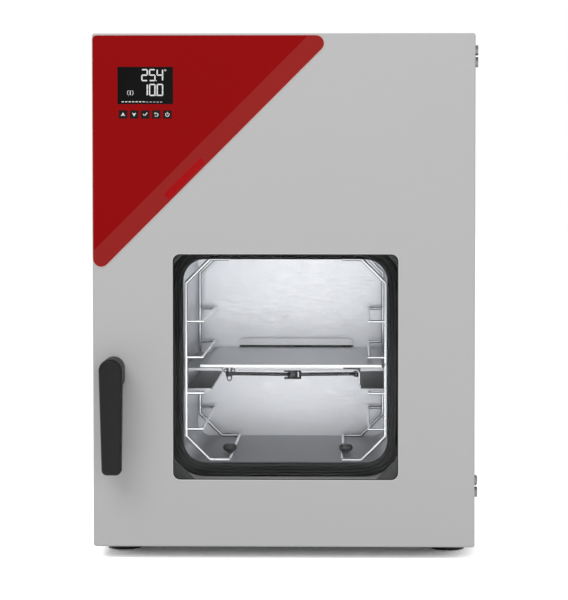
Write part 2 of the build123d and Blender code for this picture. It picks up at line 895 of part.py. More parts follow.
# ==== display, keys and triangle panel ====
triangle_left = triangle_inset - half_width
triangle_top = top - triangle_top_inset
diagonal_middle = (triangle_left + triangle_leg / 2, triangle_top - triangle_leg / 2)
lens_shift = triangle_leg * sqrt(0.5) - lens_along
lens_x = diagonal_middle[0] - (lens_shift + lens_inset) * sqrt(0.5)
lens_z = diagonal_middle[1] - (lens_shift - lens_inset) * sqrt(0.5)
band_slope = atan2(triangle_thickness - band_edge_thickness, band_width)
band_start = facing(-triangle_thickness).from_local_coords(
    (diagonal_middle[0] - band_width * sqrt(0.5), diagonal_middle[1] + band_width * sqrt(0.5), 0)
)
band_plane = Plane(
    origin=band_start,
    x_dir=(1, 0, 1),
    z_dir=(sin(band_slope) * sqrt(0.5), -cos(band_slope), -sin(band_slope) * sqrt(0.5)),
)

with BuildPart() as triangle_panel:
    with BuildSketch(facing(0)):
        with BuildLine():
            Polyline(
                (triangle_left, triangle_top),
                (triangle_left + triangle_leg, triangle_top),
                (triangle_left, triangle_top - triangle_leg),
                close=True,
            )
        triangle_face = make_face()
        fillet(triangle_face.vertices().group_by(Axis.X)[0].sort_by(Axis.Y)[-1], triangle_top_radius)
        fillet([vertices().sort_by(Axis.X)[-1], vertices().sort_by(Axis.Y)[0]], triangle_tip_radius)
        with Locations((display_x, display_z)):
            Rectangle(display_width, display_height, mode=Mode.SUBTRACT)
        with Locations(*key_places):
            Rectangle(key_way, key_way, mode=Mode.SUBTRACT)
        with Locations((lens_x, lens_z)):
            Rectangle(lens_length, lens_width, rotation=45, mode=Mode.SUBTRACT)
    extrude(amount=triangle_thickness)
    split(bisect_by=band_plane, keep=Keep.BOTTOM)
finish(triangle_panel.part, "triangle_panel")

board_front = key_length + key_travel + key_clearance
key_row_bottom = key_places[0][1] - key_size / 2 - board_margin

with BuildPart() as status_lens:
    with BuildSketch(facing(-triangle_thickness)):
        with Locations((lens_x, lens_z)):
            Rectangle(lens_length, lens_width, rotation=45)
    extrude(amount=-triangle_thickness)
    split(bisect_by=band_plane, keep=Keep.BOTTOM)
finish(status_lens.part, "status_lens")

with BuildPart() as display_module:
    with BuildSketch(facing(-triangle_thickness)):
        with Locations((display_x, display_z)):
            Rectangle(display_width, display_height)
    extrude(amount=-triangle_thickness - sheet)
    with BuildSketch(facing(sheet)):
        with Locations((display_x, display_z)):
            Rectangle(display_width + 2 * display_border, display_height + 2 * display_border)
    extrude(amount=-display_depth)
    with BuildSketch(facing(board_front)):
        with Locations((key_places[2][0], (key_row_bottom + display_z) / 2)):
            Rectangle(key_pitch * len(key_names) + 2 * board_margin, display_z - key_row_bottom)
    extrude(amount=-board_thickness)
finish(display_module.part, "display_module")

for name, place in zip(key_names, key_places):
    with BuildPart() as key:
        with BuildSketch(facing(-triangle_thickness - key_proud)):
            with Locations(place):
                Rectangle(key_size, key_size)
        extrude(amount=-triangle_thickness - key_proud - key_length)
        with BuildSketch(facing(sheet + key_flange_gap)):
            with Locations(place):
                Rectangle(key_size + 2 * key_flange_border, key_size + 2 * key_flange_border)
        extrude(amount=-key_flange_thickness)
    finish(key.part, f"key_{name}")


# ==== expansion rack ====
rack_support = support_heights[1] + support_diameter / 2
jaw_bottom = rack_support + rest_clearance
jaw_top = jaw_bottom + jaw_height
plate_bottom = jaw_top + jaw_plate_gap
plate_top = plate_bottom + plate_thickness
jaw_middle = (jaw_bottom + jaw_top) / 2
jaw_front = (front_upright_depth + rear_upright_depth - jaw_length) / 2
jaw_face = wall_x - rest_clearance
link_height = jaw_top - jaw_thickness - link_drop
link_run = link_length * cos(radians(link_rest_angle))
pivot_depth = link_depth + link_length * sin(radians(link_rest_angle))
left_pivot_x = clip_x - link_run
right_pivot_x = clip_x + link_run
jaw_travel = 2 * (link_run - link_length * cos(radians(link_rest_angle + link_travel_angle)))
rivet_x = rack_x + plate_width / 2 - rivet_inset
guide_x = rack_x - plate_width / 2 + guide_inset
eye_height = link_diameter + 1
flange_bottom = jaw_top - jaw_thickness
pin_end = link_height - eye_height / 2 - pivot_gap

with BuildPart() as shelf_plate:
    with BuildSketch(level(plate_bottom)):
        with Locations((rack_x, plate_front_depth + plate_depth / 2)):
            Rectangle(plate_width, plate_depth)
        with Locations(*[(x, depth) for x in (rivet_x, guide_x) for depth in rivet_depths]):
            Circle(rivet_diameter / 2, mode=Mode.SUBTRACT)
    extrude(amount=plate_thickness)
    with BuildSketch(facing(plate_front_depth + plate_depth)):
        with Locations((rack_x, plate_top)):
            RectangleRounded(lip_width, 2 * lip_height, lip_radius)
        with Locations((rack_x, plate_top - lip_height / 2)):
            Rectangle(lip_width, lip_height, mode=Mode.SUBTRACT)
    extrude(amount=lip_thickness)
finish(shelf_plate.part, "shelf_plate")


def channel(side, flange_width):
    """A jaw: a channel that opens inwards, with its web at the wall and its upper flange widened."""
    with BuildPart() as body:
        with BuildSketch(facing(jaw_front)):
            with Locations((side * (jaw_face - jaw_width / 2), jaw_middle)):
                Rectangle(jaw_width, jaw_height)
            with Locations((side * (jaw_face - jaw_width / 2 - jaw_thickness), jaw_middle)):
                Rectangle(jaw_width, jaw_height - 2 * jaw_thickness, mode=Mode.SUBTRACT)
            with Locations((side * (jaw_face - flange_width / 2), jaw_top - jaw_thickness / 2)):
                Rectangle(flange_width, jaw_thickness)
        extrude(amount=-jaw_length)
        fillet(body.edges().filter_by(Axis.Y).group_by(Axis.X)[-1 if side > 0 else 0], 2)
    return body.part


def pivot_pin(x):
    """A headed pivot pin with its spacing boss, hanging below a flange."""
    with BuildPart() as body:
        for bottom_end, top_end, radius in (
            (link_height + eye_height / 2 + pivot_gap, flange_bottom, pivot_diameter / 2 + 2),
            (pin_end, flange_bottom, pivot_diameter / 2),
            (pin_end - 1, pin_end, pivot_diameter / 2 + 1.5),
        ):
            with BuildSketch(level(bottom_end)):
                with Locations((x, pivot_depth)):
                    Circle(radius)
            extrude(amount=top_end - bottom_end)
    return body.part


with BuildPart() as right_jaw:
    add(channel(1, jaw_width))
    with BuildSketch(level(jaw_top)):
        with Locations(*[(rivet_x, depth) for depth in rivet_depths]):
            Circle(rivet_diameter / 2)
    extrude(amount=-jaw_thickness, mode=Mode.SUBTRACT)
finish(right_jaw.part, "right_jaw")

with BuildPart() as left_jaw:
    add(channel(-1, left_flange_width))
    slot_length = rivet_diameter + jaw_travel + 1
    with BuildSketch(level(jaw_top)):
        with Locations(*[(guide_x - jaw_travel / 2, depth) for depth in rivet_depths]):
            SlotOverall(slot_length, rivet_diameter + guide_slack)
    extrude(amount=-jaw_thickness, mode=Mode.SUBTRACT)
    with BuildSketch(level(flange_bottom)):
        flange_tip = left_flange_width - jaw_face
        with Locations(((flange_tip + left_pivot_x) / 2, pivot_depth)):
            Rectangle(left_pivot_x - flange_tip, bar_width)
        with Locations((left_pivot_x, pivot_depth)):
            Circle(bar_width / 2)
    extrude(amount=jaw_thickness)
    add(pivot_pin(left_pivot_x))
finish(left_jaw.part, "left_jaw")

with BuildPart() as jaw_rivets:
    head_radius = rivet_diameter / 2 + rivet_head_border
    for x, head_top, spacer_radius in (
        (rivet_x, flange_bottom, head_radius),
        (guide_x, flange_bottom - rest_clearance, rivet_diameter / 2),
    ):
        for bottom_end, top_end, radius in (
            (head_top - rivet_head, head_top, head_radius),
            (head_top, plate_top, rivet_diameter / 2),
            (jaw_top, plate_bottom, spacer_radius),
        ):
            with BuildSketch(level(bottom_end)):
                with Locations(*[(x, depth) for depth in rivet_depths]):
                    Circle(radius)
            extrude(amount=top_end - bottom_end)
finish(jaw_rivets.part, "jaw_rivets")


def link(pivot, knee, knee_eye, knee_hole):
    """A rod from its pivot's eye to the knee, with an eye there when knee_eye is given."""
    with BuildPart() as body:
        length = (Vector(*knee) - Vector(*pivot)).length
        rod = Plane(
            origin=level(link_height).from_local_coords((*pivot, 0)),
            z_dir=Vector(knee[0] - pivot[0], knee[1] - pivot[1], 0),
        )
        with BuildSketch(rod):
            Circle(link_diameter / 2)
        extrude(amount=length)
        with BuildSketch(level(link_height - eye_height / 2)):
            with Locations(pivot):
                Circle(pivot_diameter / 2 + eye_wall)
            if knee_eye:
                with Locations(knee):
                    Circle(knee_eye)
        extrude(amount=eye_height)
        with BuildSketch(level(link_height - eye_height / 2)):
            with Locations(pivot):
                Circle(pivot_diameter / 2 + 0.15)
            if knee_eye:
                with Locations(knee):
                    Circle(knee_hole)
        extrude(amount=eye_height, mode=Mode.SUBTRACT)
    return body.part


knee = (clip_x, link_depth)
rod_seat = clip_width / 2 - clip_web + 1
left_pivot = (left_pivot_x, pivot_depth)
right_pivot = (right_pivot_x, pivot_depth)
rod_end = (clip_x + rod_seat, link_depth + rod_seat * (pivot_depth - link_depth) / link_run)
finish(link(left_pivot, knee, knee_eye_radius, pivot_diameter / 2 + knee_slack), "link_left")
finish(link(right_pivot, rod_end, 0, 0), "link_right")

clip_height = eye_height + 6
with BuildPart() as link_clip:
    with BuildSketch(level(link_height - clip_height / 2)):
        with Locations(knee):
            RectangleRounded(clip_width, bar_width, 2)
    extrude(amount=clip_height)
    with BuildSketch(level(link_height - eye_height / 2 - 1)):
        with Locations((clip_x - clip_web, link_depth)):
            Rectangle(clip_width, bar_width + 4)
    extrude(amount=eye_height + 2, mode=Mode.SUBTRACT)
    with BuildSketch(level(link_height - clip_height / 2)):
        with Locations(knee):
            Circle(pivot_diameter / 2)
    extrude(amount=clip_height)
    add(link(right_pivot, rod_end, 0, 0), mode=Mode.SUBTRACT)
finish(link_clip.part, "link_clip")

anchor_x = jaw_face - jaw_width - rest_clearance

with BuildPart() as link_anchor:
    with BuildSketch(facing(anchor_front)):
        with Locations((anchor_x - anchor_sheet / 2, (anchor_leg_bottom + plate_bottom) / 2)):
            Rectangle(anchor_sheet, plate_bottom - anchor_leg_bottom)
    extrude(amount=-anchor_length)
    with BuildSketch(facing(anchor_front)):
        with Locations((anchor_x - anchor_flange / 2, (flange_bottom + plate_bottom) / 2)):
            Rectangle(anchor_flange, plate_bottom - flange_bottom)
    extrude(amount=anchor_front - pivot_depth - bar_width / 2)
    add(pivot_pin(right_pivot_x))
finish(link_anchor.part, "link_anchor")


# ==== ports and services ====
port_height = chamber_middle + insulation_size / 2 + port_rise
vacuum_x, measuring_x = port_places
measuring_reach = port_reach - blank_setback


def flanged_port(x, reach):
    """A pumping tube from the chamber's ceiling to a clamp flange behind the rear panel."""
    end = case_back + reach
    with BuildPart() as body:
        with BuildLine(beside(x)) as route:
            Polyline(
                (port_depth, chamber_floor + chamber_height + port_root),
                (port_depth, port_height - elbow_cut),
                (port_depth + elbow_cut, port_height),
                (end, port_height),
            )
        with BuildSketch(Plane(route.line @ 0, z_dir=route.line % 0)):
            Circle(port_tube / 2)
        sweep(path=route.line, transition=Transition.RIGHT)
        with BuildSketch(facing(end)):
            with Locations((x, port_height)):
                Circle(port_flange / 2)
        extrude(amount=port_flange_thickness)
        with BuildSketch(facing(end - port_flange_thickness)):
            with Locations((x, port_height)):
                Circle(port_flange / 2)
        extrude(amount=port_cone_height, taper=port_cone_taper)
        with BuildSketch(Plane(route.line @ 0, z_dir=route.line % 0)):
            Circle(port_bore / 2)
        sweep(path=route.line, mode=Mode.SUBTRACT, transition=Transition.RIGHT)
        with BuildSketch(facing(end)):
            with Locations((x, port_height)):
                Circle(port_recess / 2)
        extrude(amount=port_recess_depth, mode=Mode.SUBTRACT)
    return body.part


finish(flanged_port(vacuum_x, port_reach), "vacuum_port")
finish(flanged_port(measuring_x, measuring_reach), "measuring_port")

measuring_end = case_back + measuring_reach

with BuildPart() as centring_ring:
    with BuildSketch(facing(measuring_end)):
        with Locations((measuring_x, port_height)):
            Circle(port_flange / 2 - 2)
            Circle(port_bore / 2, mode=Mode.SUBTRACT)
    extrude(amount=-ring_thickness)
    with BuildSketch(facing(measuring_end)):
        with Locations((measuring_x, port_height)):
            Circle(port_recess / 2 - 0.05)
            Circle(port_bore / 2 - 1, mode=Mode.SUBTRACT)
    extrude(amount=port_recess_depth - 0.2)
finish(centring_ring.part, "centring_ring")

with BuildPart() as blank_flange:
    with BuildSketch(facing(measuring_end + ring_thickness)):
        with Locations((measuring_x, port_height)):
            Circle(port_flange / 2)
    extrude(amount=-blank_thickness)
    chamfer(blank_flange.faces().sort_by(Axis.Y)[-1].edges(), 1)
finish(blank_flange.part, "blank_flange")

clamp_inner = port_flange / 2 + rest_clearance
clamp_front = measuring_end - clamp_wall
clamp_back = measuring_end + ring_thickness + blank_thickness - 1
lug_x = clamp_inner + clamp_lug_size[0] / 2 + 1
clamp_screw = (measuring_x + lug_x + 3, (clamp_front + clamp_back) / 2)

with BuildPart() as port_clamp:
    with BuildSketch(facing(clamp_front)):
        with Locations((measuring_x, port_height)):
            Circle(clamp_inner + clamp_wall)
            with Locations((-lug_x, 0), (lug_x, 0)):
                RectangleRounded(*clamp_lug_size, 2)
            Circle(clamp_inner, mode=Mode.SUBTRACT)
            with Locations((lug_x, 0)):
                Rectangle(clamp_lug_size[0] + 4, sheet, mode=Mode.SUBTRACT)
    extrude(amount=clamp_front - clamp_back)
    with BuildSketch(level(port_height + clamp_lug_size[1] / 2)):
        with Locations(clamp_screw):
            Circle(clamp_screw_diameter / 2)
    extrude(amount=2 * clamp_screw_diameter)
    with BuildSketch(level(port_height + clamp_lug_size[1] / 2 + 2)):
        with Locations(clamp_screw):
            RegularPolygon(clamp_lug_size[1] / 2, 6)
    extrude(amount=clamp_screw_diameter)
finish(port_clamp.part, "port_clamp")

nozzle_x = vacuum_x - nozzle_shift
nozzle_z = port_height + nozzle_rise
tray_height = port_height + tray_rise
tray_floor = tray_height + sheet
tray_front = case_front + pan_flange
valve_front = case_back - sheet - valve_size[1] - valve_setback
valve_back = valve_front + valve_size[1]
coil_z = tray_height - valve_size[2] / 2 + 2

with BuildPart() as valve_block:
    with BuildSketch(level(tray_height - valve_size[2])):
        with Locations((nozzle_x, (valve_front + valve_back) / 2)):
            Rectangle(valve_size[0], valve_size[1])
    extrude(amount=valve_size[2])
    with BuildSketch(facing(valve_front)):
        with Locations((nozzle_x - 14, coil_z), (nozzle_x + 14, coil_z)):
            Circle(valve_coil_radius)
    extrude(amount=valve_coil_length)
finish(valve_block.part, "valve_block")

with BuildPart() as gas_nozzle:
    with BuildSketch(facing(valve_back)):
        with Locations((nozzle_x, nozzle_z)):
            Circle(nozzle_diameter / 2)
    extrude(amount=valve_back - case_back - nozzle_length + 2 * nozzle_barb)
    with BuildSketch(facing(case_back)):
        with Locations((nozzle_x, nozzle_z)):
            RegularPolygon(nozzle_diameter - 1, 6)
    extrude(amount=-6)
    for step in range(2):
        with BuildSketch(facing(case_back + nozzle_length - step * nozzle_barb)):
            with Locations((nozzle_x, nozzle_z)):
                Circle(nozzle_diameter / 2 + 0.4)
        extrude(amount=nozzle_barb, taper=-nozzle_barb)
    with BuildSketch(facing(case_back + nozzle_length)):
        with Locations((nozzle_x, nozzle_z)):
            Circle(nozzle_bore / 2)
    extrude(amount=nozzle_length + 12, mode=Mode.SUBTRACT)
finish(gas_nozzle.part, "gas_nozzle")

gauge_z = port_height + (port_tube + gauge_size[2]) / 2

with BuildPart() as pressure_sensor:
    with BuildSketch(facing(port_depth + gauge_size[1] + 8)):
        with Locations((measuring_x, gauge_z)):
            Rectangle(gauge_size[0], gauge_size[2])
    extrude(amount=-gauge_size[1])
finish(pressure_sensor.part, "pressure_sensor")

finish(tray(tray_height, electronics_lip), "electronics_tray")

supply_place = (130, tray_front + 120)
with BuildPart() as power_supply:
    with BuildSketch(level(tray_floor)):
        with Locations(supply_place):
            Rectangle(supply_size[0], supply_size[1])
    extrude(amount=supply_size[2])
    with BuildSketch(level(tray_floor + supply_size[2])):
        with Locations(supply_place):
            with GridLocations(supply_size[0] / 6, 0, 5, 1):
                Rectangle(7, supply_size[1] - 40)
    extrude(amount=-1, mode=Mode.SUBTRACT)
finish(power_supply.part, "power_supply")

board_place = (-90, tray_front + 130)
with BuildPart() as control_board:
    with BuildSketch(level(tray_floor + board_spacer_height)):
        with Locations(board_place):
            Rectangle(*board_size)
    extrude(amount=board_sheet)
    with BuildSketch(level(tray_floor)):
        with Locations(board_place):
            with GridLocations(board_size[0] - board_inset, board_size[1] - board_inset, 2, 2):
                RegularPolygon(board_spacer_height / 2, 6)
    extrude(amount=board_spacer_height)
    with BuildSketch(level(tray_floor + board_spacer_height + board_sheet)):
        with Locations(board_place):
            with Locations((-60, -30)):
                Rectangle(36, 36)
            with Locations((40, 35)):
                Rectangle(60, 34)
            with Locations((0, -40), (35, -40)):
                Circle(11)
    extrude(amount=16)
finish(control_board.part, "control_board")

with BuildPart() as temperature_sensor:
    with BuildSketch(level(chamber_floor + chamber_height + chamber_wall)):
        with Locations((0, port_depth)):
            Circle(sensor_radius)
    extrude(amount=(insulation_size - chamber_height) / 2 - chamber_wall + sensor_head)
finish(temperature_sensor.part, "temperature_sensor")


# ==== rear panel and its fittings ====
rocker_depth = case_back - 5
inlet_z = bottom + inlet_rise
switch_z = inlet_z + switch_rise
ethernet_z = switch_z + ethernet_rise
module_z = (inlet_z - inlet_height / 2 + switch_z + switch_height / 2) / 2
module_height = switch_z - inlet_z + (inlet_height + switch_height) / 2
screw_row_pitch = (housing_height - 40) / (rear_screw_rows - 1)
rear_screw_places = [
    (side * (inner_half_width - 8), bottom + 20 + row * screw_row_pitch)
    for side in (-1, 1)
    for row in range(rear_screw_rows)
] + [(side * 85, top - case_sheet - 8) for side in (-1, 1)]

with BuildPart() as rear_panel:
    with BuildSketch(facing(case_back)):
        with Locations((0, pan_middle)):
            Rectangle(pan_width, pan_height)
    extrude(amount=pan_flange)
    offset(amount=-sheet, openings=rear_panel.faces().sort_by(Axis.Y)[0])
    with BuildSketch(facing(case_back)):
        with Locations(*[(x, port_height) for x in port_places]):
            Circle(port_tube / 2 + 1)
        with Locations((nozzle_x, nozzle_z)):
            Circle(nozzle_diameter / 2 + 0.5)
        with Locations((inlet_x, module_z)):
            Rectangle(inlet_width, module_height)
        with Locations((inlet_x, ethernet_z)):
            Rectangle(ethernet_width, ethernet_height)
        with Locations((0, top - 60), (-100, bottom + 75)):
            with GridLocations(16, 0, 8, 1):
                Rectangle(6, 46)
        with Locations(*rear_screw_places):
            Circle(rear_screw_diameter / 2)
    extrude(amount=sheet, mode=Mode.SUBTRACT)
finish(rear_panel.part, "rear_panel")

with BuildPart() as rear_screws:
    with BuildSketch(facing(case_back)):
        with Locations(*rear_screw_places):
            RegularPolygon(rear_screw_head / 2, 6)
    extrude(amount=-2.4)
    with BuildSketch(facing(case_back)):
        with Locations(*rear_screw_places):
            Circle(rear_screw_diameter / 2)
    extrude(amount=8)
finish(rear_screws.part, "rear_screws")

with BuildPart() as power_inlet:
    with BuildSketch(facing(case_back)):
        with Locations((inlet_x, module_z)):
            RectangleRounded(inlet_width + 4, module_height + 4, 2)
    extrude(amount=-3)
    with BuildSketch(facing(case_back)):
        with Locations((inlet_x, module_z)):
            Rectangle(inlet_width - 0.4, module_height - 0.4)
    extrude(amount=26)
    with BuildSketch(facing(case_back + 3)):
        with Locations((inlet_x, inlet_z + 8)):
            RectangleRounded(24.4, 16.6, 3)
        with Locations((inlet_x, switch_z)):
            Rectangle(rocker_width + 0.8, rocker_height + 3)
    extrude(amount=17, mode=Mode.SUBTRACT)
    with BuildSketch(facing(case_back + 3)):
        with Locations((inlet_x, inlet_z - 13)):
            RectangleRounded(22, 14, 1)
    extrude(amount=1, mode=Mode.SUBTRACT)
    with BuildSketch(facing(case_back - 1)):
        with Locations((inlet_x - 7, inlet_z + 6), (inlet_x, inlet_z + 10), (inlet_x + 7, inlet_z + 6)):
            Rectangle(2, 4)
    extrude(amount=14)
    with BuildSketch(beside(inlet_x - rocker_width / 2 - 1)):
        with Locations((rocker_depth, switch_z)):
            Circle(1.5)
    extrude(amount=rocker_width + 2)
finish(power_inlet.part, "power_inlet")

with BuildPart() as switch_rocker:
    with BuildSketch(beside(inlet_x - rocker_width / 2)):
        with BuildLine():
            Polyline(
                (rocker_depth - 5, switch_z - 5),
                (case_back + 0.5, switch_z - rocker_height / 2),
                (case_back + 3.5, switch_z - rocker_height / 2),
                (case_back + 0.8, switch_z),
                (case_back + 3.5, switch_z + rocker_height / 2),
                (case_back + 0.5, switch_z + rocker_height / 2),
                (rocker_depth - 5, switch_z + 5),
                close=True,
            )
        make_face()
        with Locations((rocker_depth, switch_z)):
            Circle(1.5 + running_clearance, mode=Mode.SUBTRACT)
    extrude(amount=rocker_width)
finish(switch_rocker.part, "switch_rocker")

with BuildPart() as ethernet_socket:
    with BuildSketch(facing(case_back)):
        with Locations((inlet_x, ethernet_z)):
            Rectangle(ethernet_width + 3, ethernet_height + 3)
    extrude(amount=-1)
    with BuildSketch(facing(case_back)):
        with Locations((inlet_x, ethernet_z)):
            Rectangle(ethernet_width - 0.4, ethernet_height - 0.4)
    extrude(amount=18)
    with BuildSketch(facing(case_back + 1)):
        with Locations((inlet_x, ethernet_z + 1)):
            Rectangle(11.8, 7)
        with Locations((inlet_x, ethernet_z - 3.5)):
            Rectangle(6, 4)
    extrude(amount=13, mode=Mode.SUBTRACT)
finish(ethernet_socket.part, "ethernet_socket")
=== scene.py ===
"""Looks of the vacuum oven: finishes for the CAD pieces, the small trim that sits on them, and the studio.

Lengths are in metres, in the frame of the CAD model: +X to the right, +Y to the back, +Z up.
"""

import json
from math import acos, atan2, cos, degrees, pi, radians, sin, tan

import bmesh
import bpy
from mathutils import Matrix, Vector


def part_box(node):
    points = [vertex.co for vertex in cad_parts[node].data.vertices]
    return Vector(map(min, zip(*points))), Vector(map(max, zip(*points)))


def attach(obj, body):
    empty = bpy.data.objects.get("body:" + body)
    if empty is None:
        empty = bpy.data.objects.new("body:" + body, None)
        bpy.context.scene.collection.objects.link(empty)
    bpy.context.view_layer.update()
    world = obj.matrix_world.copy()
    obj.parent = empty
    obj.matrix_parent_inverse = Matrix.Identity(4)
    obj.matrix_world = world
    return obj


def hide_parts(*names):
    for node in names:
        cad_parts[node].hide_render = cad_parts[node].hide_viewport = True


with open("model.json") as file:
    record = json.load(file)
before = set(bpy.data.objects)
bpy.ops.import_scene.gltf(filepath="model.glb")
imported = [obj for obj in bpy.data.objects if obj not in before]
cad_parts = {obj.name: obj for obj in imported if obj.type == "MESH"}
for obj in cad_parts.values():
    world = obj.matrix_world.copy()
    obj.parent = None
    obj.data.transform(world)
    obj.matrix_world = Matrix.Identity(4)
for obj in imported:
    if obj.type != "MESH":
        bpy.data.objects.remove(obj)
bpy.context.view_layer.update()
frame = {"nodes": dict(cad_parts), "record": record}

MM = 0.001


def box_of(node):
    """The lowest and highest corner of a CAD node."""
    low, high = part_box(node)
    return Vector(low), Vector(high)


door_low, door_high = box_of("door_shell")
panel_low, panel_high = box_of("triangle_panel")
DOOR_FACE = door_low.y
PANEL_FACE = panel_low.y
DOOR_MIDDLE_X = (door_low.x + door_high.x) / 2


# ---- materials
# Most of a noise texture's values lie in this range.
NOISE_RANGE = (0.25, 0.75)
# The noise in a finish's roughness is this much coarser than its grain.
WEAR_COARSENESS = 12


def new_material(name):
    """A material, its node tree and its Principled shader."""
    material = bpy.data.materials.new(name)
    material.use_nodes = True
    tree = material.node_tree
    return material, tree, tree.nodes["Principled BSDF"]


def add_node(tree, kind, **values):
    """A shader node whose inputs and settings are given by name."""
    node = tree.nodes.new(kind)
    for key, value in values.items():
        if key in node.inputs:
            node.inputs[key].default_value = value
        else:
            setattr(node, key, value)
    return node


def coordinates(tree, stretch=(1, 1, 1)):
    """Object coordinates in metres, stretched along each axis."""
    source = tree.nodes.new("ShaderNodeTexCoord")
    mapping = tree.nodes.new("ShaderNodeMapping")
    mapping.inputs["Scale"].default_value = stretch
    tree.links.new(source.outputs["Object"], mapping.inputs["Vector"])
    return mapping.outputs["Vector"]


def noise(tree, vector, scale, detail=3.0, roughness=0.5):
    """The value of a noise texture read at a vector."""
    node = add_node(tree, "ShaderNodeTexNoise", Scale=scale, Detail=detail, Roughness=roughness)
    tree.links.new(vector, node.inputs["Vector"])
    return node.outputs["Fac"]


def map_range(tree, value, source, target=(0.0, 1.0)):
    """A value moved from its source range to a target range, and held at the ends."""
    node = tree.nodes.new("ShaderNodeMapRange")
    for socket, number in zip(("From Min", "From Max", "To Min", "To Max"), (*source, *target)):
        node.inputs[socket].default_value = number
    tree.links.new(value, node.inputs["Value"])
    return node.outputs["Result"]


def ramp(tree, value, low, high):
    """A noise value spread over low to high."""
    return map_range(tree, value, NOISE_RANGE, (low, high))


def blend(tree, value, first, second):
    """A colour between two others, each of them a colour or a node's output."""
    node = add_node(tree, "ShaderNodeMix", data_type="RGBA")
    for socket, colour in (("A", first), ("B", second)):
        if isinstance(colour, tuple):
            node.inputs[socket].default_value = (*colour, 1)
        else:
            tree.links.new(colour, node.inputs[socket])
    tree.links.new(value, node.inputs["Factor"])
    return node.outputs["Result"]


def slope(tree, axis, low, high):
    """0 to 1 as the surface's normal turns towards an axis."""
    geometry = tree.nodes.new("ShaderNodeNewGeometry")
    parts = tree.nodes.new("ShaderNodeSeparateXYZ")
    tree.links.new(geometry.outputs["Normal"], parts.inputs["Vector"])
    return map_range(tree, parts.outputs[axis], (low, high))


def math_of(tree, operation, *values):
    """The result of a Math node for sockets and plain numbers."""
    node = add_node(tree, "ShaderNodeMath", operation=operation)
    for socket, value in zip(node.inputs, values):
        if isinstance(value, (int, float)):
            socket.default_value = value
        else:
            tree.links.new(value, socket)
    return node.outputs["Value"]


def bump(tree, value, strength, distance):
    """A surface normal that rises with a value, by a distance in metres."""
    node = add_node(tree, "ShaderNodeBump", Strength=strength, Distance=distance)
    tree.links.new(value, node.inputs["Height"])
    return node.outputs["Normal"]


def linear(red, green, blue):
    """Display values of 0 to 255 as linear light."""

    def channel(value):
        value /= 255
        return value / 12.92 if value <= 0.04045 else ((value + 0.055) / 1.055) ** 2.4
    return channel(red), channel(green), channel(blue)


def scaled(colour, factor):
    """A colour made lighter or darker."""
    return tuple(min(channel * factor, 1) for channel in colour)


def finish_of(
    name, colour, roughness, metallic=0.0, spread=0.06, mottle=0.04, cloud=9.0, grain=900.0,
    grain_depth=0.00004, grain_strength=0.25, stretch=(1, 1, 1), specular=0.5, turned=None, turned_rough=0.0,
):
    """A finish with clouded colour and roughness and a fine grain in its normal.

    turned is (colour, axis, low, high) for another tone on faces whose normal turns towards an axis, used to
    paint shade or light by the way a face looks, and turned_rough is how much rougher they are.
    """
    material, tree, shader = new_material(name)
    vector = coordinates(tree, stretch)
    clouds = noise(tree, vector, cloud, 4)
    fine = noise(tree, vector, grain, 2)
    tone = blend(tree, clouds, scaled(colour, 1 - mottle), scaled(colour, 1 + mottle))
    if turned:
        second, axis, low, high = turned
        other = blend(tree, clouds, scaled(second, 1 - mottle), scaled(second, 1 + mottle))
        share = slope(tree, axis, low, high)
        tone = blend(tree, share, tone, other)
    tree.links.new(tone, shader.inputs["Base Color"])
    wear = noise(tree, vector, grain / WEAR_COARSENESS, 3)
    rough = ramp(tree, wear, roughness - spread, roughness + spread)
    if turned_rough:
        rough = math_of(tree, "ADD", rough, math_of(tree, "MULTIPLY", share, turned_rough))
    tree.links.new(rough, shader.inputs["Roughness"])
    tree.links.new(bump(tree, fine, grain_strength, grain_depth), shader.inputs["Normal"])
    shader.inputs["Metallic"].default_value = metallic
    shader.inputs["Specular IOR Level"].default_value = specular
    return material


def glass_of(name, facing_gloss, edge_gloss):
    """Clear glass as a thin mirror: see-through when looked at squarely, glossy at a glance."""
    material, tree, shader = new_material(name)
    vector = coordinates(tree)
    rough = ramp(tree, noise(tree, vector, 14, 5), 0.01, 0.06)
    tree.links.new(rough, shader.inputs["Roughness"])
    glance = add_node(tree, "ShaderNodeLayerWeight", Blend=0.25)
    gloss = map_range(tree, glance.outputs["Fresnel"], (0.0, 1.0), (facing_gloss, edge_gloss))
    wiped = ramp(tree, noise(tree, vector, 6, 4), 0.8, 1.2)
    tree.links.new(math_of(tree, "MULTIPLY", gloss, wiped), shader.inputs["Alpha"])
    shader.inputs["Base Color"].default_value = (0.93, 0.97, 0.96, 1)
    shader.inputs["Metallic"].default_value = 1.0
    return material


